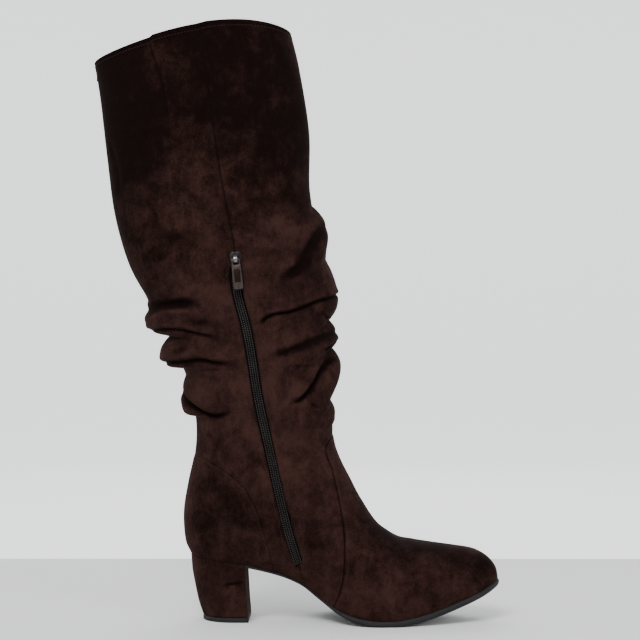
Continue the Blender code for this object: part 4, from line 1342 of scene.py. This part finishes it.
def tape_cloth(name):
    """Woven zip tape: herringbone rows that follow the zip."""
    made = Shader(name, Specular_IOR_Level=0.03)
    across = made.attribute("across")
    along = made.attribute("along")
    twill = (along + across.size() * 0.8).wave(0.0008) * 0.5 + 0.5
    rows = across.wave(0.0006) * 0.5 + 0.5
    fluff = made.noise(0.0009, 2.0)
    tone = twill * 0.45 + rows * 0.3 + fluff * 0.4
    colour = made.mix(tone.step(0.1, 1.0), (0.0015, 0.0013, 0.0013), (0.0060, 0.0050, 0.0048))
    return made.finish(Base_Color=colour, Roughness=0.9 - rows * 0.12,
                       Normal=made.bump(twill * 0.6 + rows * 0.6, 0.00025, 0.8))


def coil(name):
    """Dyed nylon coil: dark grey, satin, worn lighter here and there."""
    made = Shader(name, Specular_IOR_Level=0.05)
    worn = made.noise(0.004, 3.0)
    fine = made.noise(0.0005, 2.0)
    tone = worn * 0.7 + fine * 0.4
    colour = made.mix(tone.step(0.25, 0.85), (0.0012, 0.0011, 0.0011), (0.0055, 0.0048, 0.0047))
    return made.finish(Base_Color=colour, Roughness=0.32 + fine * 0.2,
                       Normal=made.bump(fine, 0.0001, 0.4))


def polished(name, colour, roughness):
    """Plated metal with fine brush marks and handling wear."""
    made = Shader(name, Metallic=1.0)
    brush = made.noise(0.0004, 3.0, 0.6, 0.0, (1.0, 1.0, 0.08))
    wear = made.noise(0.0060, 3.0, 0.6)
    tone = wear * 0.5 + brush * 0.5
    dark = tuple(c * 0.55 for c in colour)
    light = tuple(min(c * 1.5, 1.0) for c in colour)
    return made.finish(Base_Color=made.mix(tone.step(0.25, 0.8), dark, light),
                       Roughness=roughness + wear * 0.16 + brush * 0.08,
                       Normal=made.bump(brush, 0.00003, 0.4))


def sewing_thread(name, dark, light):
    """Twisted polyester thread between two tones."""
    made = Shader(name, Specular_IOR_Level=0.15)
    twist = made.noise(0.0003, 2.0)
    patch = made.noise(0.012, 2.0)
    tone = twist * 0.6 + patch * 0.5
    colour = made.mix(tone.step(0.2, 0.9), dark, light)
    return made.finish(Base_Color=colour, Roughness=0.7 + twist * 0.15,
                       Normal=made.bump(twist, 0.0001, 0.6))


def rubber(name):
    """Moulded dark grey sole unit: pebble grain, scuffs, fine tread lines underneath."""
    made = Shader(name, Specular_IOR_Level=0.22)
    pebble = made.noise(0.0011, 2.0, 0.6)
    scuff = made.noise(0.010, 4.0, 0.65, 0.8, (1.0, 1.0, 3.0))
    up = made.node("ShaderNodeNewGeometry", {}, {}, "Normal")
    facing = made.node("ShaderNodeSeparateXYZ", {}, {0: up}, "Z")
    under = (-facing).step(0.7, 0.95)
    tread = (made.axis("X") + made.axis("Y") * 0.35).wave(0.0032) * under
    tone = pebble * 0.35 + scuff * 0.7 + tread * 0.12
    light = tuple(bpy.context.scene.boot_trim.rubber)
    colour = made.mix(tone.step(0.2, 0.95), (0.0050, 0.0050, 0.0053), light)
    return made.finish(Base_Color=colour, Roughness=0.55 + scuff * 0.3,
                       Normal=made.bump(pebble * 0.3 + tread * 0.6, 0.0005, 0.6))


def sock_leather(name):
    """Synthetic sock leather with a fine grain and pressed wear."""
    made = Shader(name, Specular_IOR_Level=0.35)
    cells = made.node("ShaderNodeTexVoronoi", {}, {"Vector": made.place, "Scale": 900.0})
    wear = made.noise(0.03, 3.0)
    tone = cells * 0.5 + wear * 0.7
    colour = made.mix(tone.step(0.2, 1.0), (0.036, 0.024, 0.019), (0.095, 0.066, 0.053))
    return made.finish(Base_Color=colour, Roughness=0.6 + wear * 0.2,
                       Normal=made.bump(cells, 0.0002, 0.5))


# Pieces


@lru_cache(maxsize=1)
def skin_form(fine, plain):
    """The skin as a grid from the back seam round the inner side, the front and the outer
    side: points, normals and the float attributes, with the rows along the zip."""
    rows = skin_rows(fine, plain)
    half_girth = half_girths(rows)
    seam = seam_girth(rows)
    columns = zip_columns(rows, EDGE_OFFSETS)
    room = np.minimum(1, SLOT_ROOM * seam / (seam - columns[:, 0]))
    columns = seam[:, None] + (columns - seam[:, None]) * room[:, None]
    girths = [columns[:, 0] * share for share in np.linspace(0, 1, BEHIND)[:-1]]
    girths += list(columns.T)
    girths += [columns[:, -1] + (1 - columns[:, -1]) * share for share in np.linspace(0, 1, BEFORE)[1:]]
    sides = [MEDIAL] * len(girths) + [LATERAL] * ROUND
    girths += [np.full(len(rows), share) for share in np.linspace(1, 0, ROUND + 1)[1:]]
    points, outs, shades, folded, around = [], [], [], [], []
    for side, girth in zip(sides, girths):
        point, out, shade = skin_point(rows, side, girth, seam, half_girth)
        points.append(point)
        folded.append(upper_point(rows, side, girth, seam))
        outs.append(out)
        shades.append(shade)
        around.append(side * (1 - girth))
    points = np.stack(points, axis=1)
    normals = np.cross(np.gradient(points, axis=1), np.gradient(points, axis=0))
    length = np.linalg.norm(normals, axis=-1)[..., None]
    outs = np.stack(outs, axis=1)
    normals = np.where(length > 1e-12, normals / np.maximum(length, 1e-12), outs)
    zip_height = upper_point(rows, MEDIAL, seam, seam)[:, 2]
    in_zip = (zip_height > ZIP_BOTTOM) & (zip_height < ZIP_TOP) & (rows > HEEL_ROW / 2)
    # crease holds the painted shade of the crease troughs and the painted highlight of their lips
    values = {"crease": np.stack(shades, axis=1), "around": np.stack(around, axis=1)}
    values["height"] = shaft_share(points)
    # nap holds patches partly of brushed nap and partly of painted shade
    values["nap"] = nap_and_painted_shade(values["around"], values["height"])
    for name, line in (("zip", ZIP_SEAM), ("vamp", VAMP_SEAM), ("counter", COUNTER_SEAM)):
        values[name] = seam_distance(line, points)
    values["zip"] = np.where(values["around"] < 0, values["zip"], 1.0)
    values["collar"] = np.linalg.norm(points - points[-1:], axis=-1)
    lap = curve(column(SHAFT_LAP, "height"), column(SHAFT_LAP, "around"), values["height"])
    values["lap"] = (values["around"] - lap) * half_girth[:, None]
    return {
        "rows": rows, "points": points, "folded": np.stack(folded, axis=1),
        "outs": outs, "normals": normals, "values": values, "in_zip": in_zip,
    }


def skin():
    """The skin's form at the sizes in the sidebar."""
    settings = bpy.context.scene.boot_skin
    return skin_form(settings.fine_rows, settings.plain_rows)


def level_line(form, name, level, side, highest):
    """Points and normals where an attribute of the skin passes a level, from a highest
    share of the shaft down."""
    inner = form["values"]["around"].mean(axis=0) < 0
    chosen = np.flatnonzero(inner if side == MEDIAL else ~inner)
    field = form["values"][name][:, chosen] - level
    points, normals = form["points"][:, chosen], form["normals"][:, chosen]
    low = form["values"]["height"][:, chosen][:, :-1] < highest
    row, col = np.nonzero((field[:, :-1] * field[:, 1:] < 0) & (np.abs(field[:, :-1]) < 0.006) & low)
    share = (field[row, col] / (field[row, col] - field[row, col + 1]))[:, None]
    path = points[row, col] + share * (points[row, col + 1] - points[row, col])
    out = normals[row, col] + share * (normals[row, col + 1] - normals[row, col])
    order = np.argsort(-path[:, 2])
    path, out = path[order], out[order]
    for _ in range(3):
        path[1:-1] = (path[:-2] + path[1:-1] * 2 + path[2:]) / 4
    return path, out


class BOOT_OT_upper(bpy.types.Operator):
    """The suede upper: one skin round foot and shaft, open at the collar and along the zip"""

    bl_idname = "boot.upper"
    bl_label = "Suede upper"

    def execute(self, context):
        form = skin()
        points, outs, in_zip = form["points"], form["outs"], form["in_zip"]
        inward = np.zeros(points.shape[1])
        inward[BEHIND - 1:BEHIND - 1 + len(EDGE_INSETS)] = EDGE_INSETS
        points = points - outs * (inward[None, :] * in_zip[:, None])[..., None]
        top = points[-1:]
        edge = [top - outs[-1:] * depth + np.array([0, 0, rise]) for depth, rise in COLLAR_ROLL]
        points = np.concatenate([points] + edge, axis=0)
        values = {
            key: np.concatenate([v] + [v[-1:]] * len(COLLAR_ROLL), axis=0)
            for key, v in form["values"].items()
        }
        piece = grid_piece("suede_upper", points, values)
        width = points.shape[1] - 1
        first, last = np.flatnonzero(in_zip)[[0, -1]]
        gap = BEHIND - 1 + len(EDGE_INSETS) // 2 - 1
        delete_faces(piece, [row * width + gap for row in range(first, last)])
        weld(piece)
        dress(piece, suede("suede", True), "boot", "suede", "upper")
        return {"FINISHED"}


class BOOT_OT_lining(bpy.types.Operator):
    """The lining inside the shaft and foot"""

    bl_idname = "boot.lining"
    bl_label = "Lining"

    def execute(self, context):
        form = skin()
        below = np.flatnonzero(form["values"]["collar"].max(axis=1) > LINING_UNDER)[-1]
        first = np.flatnonzero(form["rows"] > LINING_FIRST)[0]
        end = form["points"].shape[1]
        rows = np.unique(np.append(np.arange(first, below, LINING_ROW_STEP), below))
        cols = np.unique(np.append(np.arange(0, end, LINING_COLUMN_STEP), end - 1))
        trough = np.einsum("ijk,ijk->ij", form["folded"] - form["points"], form["outs"])
        trough = np.maximum(trough, 0)
        for axis, reach in enumerate(TROUGH_REACH):
            trough = np.max([np.roll(trough, k, axis=axis) for k in range(-reach, reach + 1)], axis=0)
        grown = (form["values"]["collar"] - TAPE_ROOM_FROM) / TAPE_ROOM_RUN
        behind_tape = BEHIND_TAPE * np.clip(grown, 0, 1)
        depth = (WALL + trough + behind_tape)[rows][:, cols][..., None]
        inner = form["folded"][rows][:, cols] - form["outs"][rows][:, cols] * depth
        piece = grid_piece("lining", inner[:, ::-1])
        weld(piece)
        dress(piece, lining_cloth("lining_cloth"), "boot", "lining")
        return {"FINISHED"}


class BOOT_OT_zip(bpy.types.Operator):
    """The zip: woven tape, two rows of coil teeth, slider and pull tab"""

    bl_idname = "boot.zip"
    bl_label = "Zip"

    def execute(self, context):
        form = skin()
        rows = form["rows"][form["in_zip"]]
        first = rows[:1] - (rows[1] - rows[0]) * 2
        last = rows[-1:] + (rows[-1] - rows[-2]) * 2
        rows = np.concatenate([first, rows, last])
        seam = seam_girth(rows)
        offsets = np.linspace(-TAPE_HALF, TAPE_HALF, TAPE_COLUMNS)
        girths = zip_columns(rows, offsets)
        across = []
        for k in range(len(offsets)):
            point, normal = wall_frame(rows, girths[:, k], seam)
            across.append(point - normal * (WALL + TAPE_GAP / 2))
        points = np.stack(across, axis=1)
        middle = points[:, len(offsets) // 2]
        along = np.concatenate([[0], np.cumsum(np.linalg.norm(np.diff(middle, axis=0), axis=-1))])
        values = {
            "across": np.broadcast_to(offsets[None, :], points.shape[:2]),
            "along": np.broadcast_to(along[:, None], points.shape[:2]),
        }
        tape = grid_piece("zip_tape_cloth", points, values)
        modifier(tape, "SOLIDIFY", thickness=TAPE_THICKNESS, offset=-1.0)
        finish_modifiers(tape)
        dress(tape, tape_cloth("tape_cloth"), "boot", "tape", "zip_tape")
        self.make_teeth(form)
        frame = slider_frame()
        self.make_slider(frame)
        self.make_pull(frame @ Matrix.Translation((0, 0, SLIDER_THICKNESS + TUNNEL_HEIGHT)))
        return {"FINISHED"}

    def make_teeth(self, form):
        """Two rows of coil teeth that mesh along the middle, with their stitched cords."""
        rows = form["rows"][form["in_zip"]]
        point, normal = wall_frame(rows, seam_girth(rows), seam_girth(rows))
        pitch = bpy.context.scene.boot_trim.pitch
        sides, cords = [], []
        for side in (-1, 1):
            clear_selection()
            bpy.ops.mesh.primitive_cube_add(size=1.0)
            tooth = stretched(TOOTH)
            modifier(tooth, "BEVEL", width=TOOTH_ROUND, segments=2)
            finish_modifiers(tooth)
            places, ahead, out, across = self.along(point, normal, pitch, 0.25 * side)
            places = places + across * TOOTH_AWAY * side - out * TOOTH_DEEP
            sides.append(copies("teeth", tooth, places, ahead, out))
            places, ahead, out, across = self.along(point, normal, pitch, 0.25 * side + 0.5)
            for away in CORDS_AWAY:
                at = places + across * away * side - out * CORD_DEEP
                cords.append(copies("cord", bead(CORD, 4), at, ahead, out))
        stitched = join(cords, "zip_cords")
        thread = sewing_thread("coil_thread", (0.026, 0.023, 0.022), (0.090, 0.080, 0.077))
        dress(stitched, thread, "boot", "tape")
        teeth = join(sides, "zip_teeth")
        dress(teeth, coil("coil_nylon"), "boot", "teeth", "zip_chain")

    def along(self, point, normal, pitch, shift):
        """Even places along the zip with the directions ahead, out and across."""
        places, ahead, out = even(point, normal, pitch, shift)
        return places, ahead, out, np.cross(unit(ahead), out)

    def make_slider(self, frame):
        """Crowned body with a flange below and the arched bridge that holds the tab."""
        shape = [(x, y) for x, y in CROWN] + [(-x, y) for x, y in CROWN[-2::-1]]
        crown = [(x / 1000, y / 1000) for x, y in shape]
        flange = [(x * FLANGE_SHARE[0], y * FLANGE_SHARE[1]) for x, y in crown]
        parts = [
            plate_piece("crown", crown, *CROWN_LAYER, 3),
            plate_piece("flange", flange, *FLANGE_LAYER),
        ]
        strip = np.array([
            [(side * row.half / 1000, row.along / 1000, row.out / 1000) for side in (-1, 0, 1)]
            for row in ARCH
        ])
        bridge = grid_piece("zip_slider_bridge", strip)
        modifier(bridge, "SOLIDIFY", thickness=BRIDGE_THICKNESS, offset=0.0)
        modifier(bridge, "BEVEL", width=BRIDGE_EDGE, segments=2, limit_method="ANGLE",
                 angle_limit=BEVEL_EDGE)
        modifier(bridge, "SUBSURF", levels=1, render_levels=1)
        finish_modifiers(bridge)
        body = join(parts, "zip_slider_body")
        trim = bpy.context.scene.boot_trim
        metal = polished("slider_metal", trim.metal, 0.26)
        dress(body, metal, "boot", "slider_metal", "zip_slider")
        # The bridge's lighter metal is a painted highlight
        dress(bridge, polished("bridge_metal", trim.bridge, 0.20), "boot", "slider_metal")
        place_metal((body, bridge), frame)

    def make_pull(self, hinge):
        """Tab with an eye round the bridge, and an inlay that stands a little proud of its face."""
        top = PULL_BAR / 2
        bottom = top - PULL_LENGTH - TAB_LONGER
        neck, wide, thick = PULL_WIDTH * 0.44, PULL_WIDTH / 2, PULL_THICKNESS / 2
        half = [
            (0.0, top), (neck * 0.75, top), (neck, top - 0.0007), (neck, -0.0035),
            (wide * 0.94, -0.0058), (wide, -0.0075), (wide, bottom + 0.0012),
            (wide - 0.0010, bottom), (0.0, bottom),
        ]
        shape = half + [(-x, y) for x, y in half[-2:0:-1]]
        tab = plate_piece("zip_pull_tab", shape[::-1], -thick, thick, 0.0)
        hole = [(x, y - EYE_DOWN) for x, y in rounded(*EYE)]
        eye = plate_piece("eye", hole[::-1], -EYE_CUT, EYE_CUT, 0.0)
        modifier(tab, "BOOLEAN", operation="DIFFERENCE", object=eye, solver="EXACT")
        finish_modifiers(tab)
        bpy.data.objects.remove(eye, do_unlink=True)
        modifier(tab, "BEVEL", width=TAB_EDGE, segments=3, limit_method="ANGLE", angle_limit=BEVEL_EDGE)
        finish_modifiers(tab)
        field = [(x, y - INLAY_DOWN) for x, y in rounded(*INLAY)]
        inlay = plate_piece(
            "zip_pull_inlay", field, thick - INLAY_SUNK, thick + INLAY_PROUD, INLAY_EDGE)
        metal = polished("tab_metal", bpy.context.scene.boot_trim.tab, 0.30)
        dress(tab, metal, "pull", "pull_metal", "zip_pull")
        dress(inlay, polished("inlay_metal", (0.0165, 0.0105, 0.0090), 0.40), "pull", "pull_metal")
        place_metal((tab, inlay), hinge @ Matrix.Rotation(TAB_LEAN, 4, "Z"))


class BOOT_OT_stitches(bpy.types.Operator):
    """Stitch rows along the zip, collar, vamp and heel counter"""

    bl_idname = "boot.stitches"
    bl_label = "Stitches"

    def execute(self, context):
        form = skin()
        trim = context.scene.boot_trim
        paths = []
        rows = form["rows"][form["in_zip"]]
        seam, half_girth = seam_girth(rows), half_girths(rows)
        for side in (-1, 1):
            girths = zip_columns(rows, [ZIP_ROW * side, (ZIP_ROW - 0.0004) * side])
            line, inner = (skin_point(rows, MEDIAL, girths[:, k], seam, half_girth)[0] for k in (0, 1))
            out = np.cross((line - inner) * side, np.gradient(line, axis=0))
            paths.append((line, out, trim.stitch))
        row = np.flatnonzero(form["values"]["collar"][:, HEM_COLUMN] > HEM_ROW)[-1]
        paths.append((form["points"][row], form["normals"][row], trim.stitch * HEM_PITCH))
        for side in (MEDIAL, LATERAL):
            line = level_line(form, "vamp", VAMP_ROW, side, VAMP_ROW_TOP)
            paths.append((*line, trim.stitch * VAMP_PITCH))
        made = []
        for path, out, pitch in paths:
            made.append(self.sew(path, out, pitch))
        for side in (MEDIAL, LATERAL):
            path, out = level_line(form, "counter", COUNTER_ROW, side, COUNTER_ROW_TOP)
            if side == MEDIAL:
                keep = path[:, 0] < path[:, 0].max() - COUNTER_ROW_END
                path, out = path[keep], out[keep]
            made.append(self.sew(path, out, ZIGZAG_PITCH, ZIGZAG))
        stitches = join(made, "stitches")
        thread = sewing_thread("sewing_thread", (0.0055, 0.0031, 0.0025), tuple(trim.thread))
        dress(stitches, thread, "boot", "suede")
        return {"FINISHED"}

    def sew(self, path, out, pitch, zigzag=0.0):
        """One row of stitches, straight or zigzag."""
        stitch = bead((STITCH[0], pitch * STITCH_SHARE, STITCH[1]), 5)
        places, ahead, out = even(path, out, pitch)
        ahead = unit(ahead)
        across = np.cross(ahead, out)
        turn = np.where(np.arange(len(places)) % 2, 1.0, -1.0)[:, None]
        ahead = ahead + across * turn * zigzag / pitch * 2
        return copies("row", stitch, places + out * STITCH_PROUD, ahead, out)


class BOOT_OT_heel(bpy.types.Operator):
    """The suede-covered block heel and the top lift under it"""

    bl_idname = "boot.heel"
    bl_label = "Heel and lift"

    def ring(self, inward, height=None):
        """Points round the heel, inner breast corner round the back to the outer one and
        across the breast, at a height or else under the seat."""
        along = BREAST_SHARE * (1 - np.cos(np.linspace(0, math.pi / 2, HEEL_COLUMNS)))
        rings = []
        for side in (MEDIAL, LATERAL):
            seat = outline(along, side, 0)
            width = feather_width(along, side) / feather_width(along[-1:], side) * HEEL_LIFT_WIDTH / 2
            lift = np.stack([HEEL_LIFT_LENGTH * (along / along[-1] - 0.5), side * width], axis=-1)
            plan = seat + (lift - seat) * inward
            z = seat_z(along) - GAP if height is None else np.full(len(along), height)
            rings.append(np.concatenate([plan, z[:, None]], axis=-1))
        medial, lateral = rings
        across = np.linspace(0, 1, BREAST_COLUMNS)[1:-1, None]
        breast = lateral[-1] + (medial[-1] - lateral[-1]) * across
        return np.concatenate([medial[::-1], lateral[1:], breast, medial[-1:]], axis=0)

    def execute(self, context):
        down = np.linspace(0, 1, HEEL_RINGS)
        inward = curve(column(HEEL_TAPER, "down"), column(HEEL_TAPER, "inward"), down)
        bottom = HEEL_LIFT + GAP
        rings = []
        for share, toward in zip(down, inward):
            ring = self.ring(toward)
            ring[:, 2] += (bottom - ring[:, 2]) * share
            rings.append(ring)
        points = np.stack(rings, axis=0)
        x = points[..., 0]
        off = points[..., 2] - DENT_HEIGHT - (x - DENT_AT) * DENT_SLOPE
        spot = np.exp(-(off / DENT_WIDTH) ** 2)
        spot *= smooth((x - DENT_BACK) / DENT_FADE) * smooth((DENT_FRONT - x) / DENT_FADE)
        spot *= points[..., 1] < 0
        points[..., 1] += DENT_DEPTH * spot
        # Painted shade in the dent, carried by the suede's crease value
        piece = grid_piece("heel_cover", points[::-1, ::-1], {"crease": -1.6 * spot[::-1, ::-1]})
        weld(piece)
        cap_holes(piece)
        modifier(piece, "BEVEL", width=HEEL_EDGE, segments=3, limit_method="ANGLE",
                 angle_limit=BEVEL_EDGE)
        finish_modifiers(piece)
        dress(piece, suede("heel_suede", False), "boot", "suede", "heel")
        plan = self.ring(1.0, 0.0)[:-1, :2]
        lift = plate_piece("top_lift", plan[::-1], 0.0, HEEL_LIFT, 0.0005)
        dress(lift, rubber("lift_rubber"), "boot", "sole", "heel_lift")
        return {"FINISHED"}


class BOOT_OT_sole(bpy.types.Operator):
    """The outsole with its rounded edge, and the sock on the insole"""

    bl_idname = "boot.sole"
    bl_label = "Outsole and sock"

    def board(self, name, along, inset, top, bottom, edge):
        """A curved board between two heights, with its edges rounded over a radius."""
        turn = np.linspace(0, 1, 5)[1:-1]
        rings = []
        for side in (MEDIAL, LATERAL):
            outer = outline(along, side, inset)
            inner = outline(along, side, inset + edge)
            thick = (top - bottom) / 2
            steps = [(inner, top)]
            for t in turn:
                lean = math.cos(math.pi * (t - 0.5))
                plan = inner + (outer - inner) * lean
                steps.append((plan, (top + bottom) / 2 + thick * math.sin(math.pi * (0.5 - t))))
            steps.append((inner, bottom))
            rings.append([np.concatenate([plan, z[:, None]], axis=-1) for plan, z in steps])
        medial, lateral = rings
        across = np.linspace(0, 1, 9)[1:-1]
        under = [medial[-1] + (lateral[-1] - medial[-1]) * s for s in across]
        over = [lateral[0] + (medial[0] - lateral[0]) * s for s in across]
        columns = medial + under + lateral[::-1] + over + medial[:1]
        piece = grid_piece(name, np.stack(columns, axis=1))
        weld(piece)
        cap_holes(piece)
        return piece

    def execute(self, context):
        along = np.concatenate([
            np.linspace(BREAST_SHARE + GAP / FOOT_LENGTH, TIP_FROM, 110),
            TIP_FROM + SOLE_TIP * np.sin(np.linspace(0, math.pi / 2, 40)[1:]),
        ])
        tread = np.clip(seat_column("tread", along), 0, 1)
        thick = SOLE_WAIST + (SOLE_FOREFOOT - SOLE_WAIST) * tread
        top = seat_z(along) - GAP
        bottom = np.maximum(seat_z(along) - thick - SOLE_FLAT, 0)
        sole = self.board("outsole_rubber", along, -SOLE_LEDGE * tread, top, bottom, SOLE_EDGE)
        dress(sole, rubber("sole_rubber"), "boot", "sole", "outsole")
        along = np.concatenate([
            SOCK_HEEL * (1 - np.cos(np.linspace(0.5, math.pi / 2, 20))),
            np.linspace(SOCK_HEEL, TIP_FROM, 90)[1:-1],
            TIP_FROM + SOCK_TIP * np.sin(np.linspace(0, math.pi / 2, 20)),
        ])
        low = seat_z(along)
        inset = np.full(len(along), WALL + 2 * GAP)
        sock = self.board("sock", along, inset, low + INSOLE, low, SOCK_EDGE)
        dress(sock, sock_leather("sock_leather"), "boot", "lining", "insole")
        return {"FINISHED"}


class BOOT_OT_stage(bpy.types.Operator):
    """Pale floor that rises to a backdrop all round, soft lights and the camera"""

    bl_idname = "boot.stage"
    bl_label = "Floor, lights and camera"

    def execute(self, context):
        stage = context.scene.boot_stage
        clear_selection()
        bpy.ops.mesh.primitive_circle_add(vertices=96, radius=stage.radius, fill_type="NGON")
        floor = bpy.context.object
        floor.name = "floor"
        bpy.ops.object.mode_set(mode="EDIT")
        bpy.ops.mesh.select_mode(type="FACE")
        bpy.ops.mesh.select_all(action="SELECT")
        turned = 0.0
        for k in range(1, COVE_STEPS + 1):
            angle = math.pi / 2 * k / COVE_STEPS
            grown = stage.radius + COVE * math.sin(angle)
            before = stage.radius + COVE * math.sin(turned)
            rise = COVE * (math.cos(turned) - math.cos(angle))
            bpy.ops.mesh.extrude_region_move(TRANSFORM_OT_translate={"value": (0, 0, 0)})
            bpy.ops.transform.resize(value=(grown / before, grown / before, 1), center_override=(0, 0, 0))
            bpy.ops.transform.translate(value=(0, 0, rise))
            turned = angle
        bpy.ops.mesh.extrude_region_move(TRANSFORM_OT_translate={"value": (0, 0, WALL_RISE)})
        bpy.ops.mesh.delete(type="FACE")
        bpy.ops.object.mode_set(mode="OBJECT")
        clear_selection()
        bpy.ops.mesh.primitive_circle_add(vertices=96, radius=stage.radius, fill_type="NGON")
        middle = bpy.context.object
        middle.select_set(True)
        floor.select_set(True)
        bpy.context.view_layer.objects.active = floor
        bpy.ops.object.join()
        weld(floor, 0.0001)
        made = Shader("stage_paint", Specular_IOR_Level=0.2, Roughness=0.9, Emission_Strength=1.05)
        behind = made.axis("Y").step(*PAINT_LINE)
        colour = made.mix(behind, tuple(stage.floor), tuple(stage.wall))
        glow = made.mix(behind, (0.0, 0.0, 0.0), tuple(stage.wall))
        floor.data.materials.append(made.finish(Base_Color=colour, Emission_Color=glow))
        floor.data.shade_smooth()
        for row in LIGHTS:
            light = bpy.data.lights.new(row.name, "AREA")
            light.shape = "SQUARE"
            light.size = row.size
            light.energy = row.power
            self.aim(bpy.data.objects.new(row.name, light), row.place, LIT_POINT)
        world = bpy.data.worlds.new("studio")
        world.use_nodes = True
        sky = world.node_tree.nodes["Background"]
        sky.inputs["Color"].default_value = (0.95, 0.97, 1.0, 1.0)
        sky.inputs["Strength"].default_value = 0.75
        context.scene.world = world
        lens = bpy.data.cameras.new("camera")
        lens.sensor_width = SENSOR
        lens.lens = SENSOR * CAMERA_DISTANCE / FRAME_WIDTH
        lens.shift_y = CAMERA_SHIFT
        camera = bpy.data.objects.new("camera", lens)
        target = Vector((AIM_X, 0.0, FRAME_MIDDLE - CAMERA_SHIFT * FRAME_WIDTH))
        self.aim(camera, (CAMERA_X, -CAMERA_DISTANCE, CAMERA_HEIGHT), target)
        context.scene.camera = camera
        return {"FINISHED"}

    def aim(self, thing, place, target):
        """Put a light or the camera in the scene, turned to a target."""
        thing.location = place
        thing.rotation_euler = (target - thing.location).to_track_quat("-Z", "Y").to_euler()
        bpy.context.scene.collection.objects.link(thing)


class BOOT_PT_panel(bpy.types.Panel):
    """Steps of the boot in the sidebar"""

    bl_label = "Slouch Boot"
    bl_space_type = "VIEW_3D"
    bl_region_type = "UI"
    bl_category = "Slouch Boot"

    def draw(self, context):
        for step in STEPS:
            self.layout.operator(step.bl_idname)


STEPS = (
    BOOT_OT_upper, BOOT_OT_lining, BOOT_OT_zip, BOOT_OT_stitches,
    BOOT_OT_heel, BOOT_OT_sole, BOOT_OT_stage,
)
SETTINGS = {"boot_skin": SkinSettings, "boot_trim": TrimSettings, "boot_stage": StageSettings}


def register():
    """Register the settings, the steps and the panel."""
    for name, group in SETTINGS.items():
        bpy.utils.register_class(group)
        setattr(bpy.types.Scene, name, PointerProperty(type=group))
    for step in STEPS:
        bpy.utils.register_class(step)
    bpy.utils.register_class(BOOT_PT_panel)


def unregister():
    """Take them out again."""
    bpy.utils.unregister_class(BOOT_PT_panel)
    for step in reversed(STEPS):
        bpy.utils.unregister_class(step)
    for name, group in SETTINGS.items():
        delattr(bpy.types.Scene, name)
        bpy.utils.unregister_class(group)


def main():
    """Make every piece in order."""
    register()
    for step in STEPS:
        group, name = step.bl_idname.split(".")
        getattr(getattr(bpy.ops, group), name)()


if __name__ == "__main__":
    main()
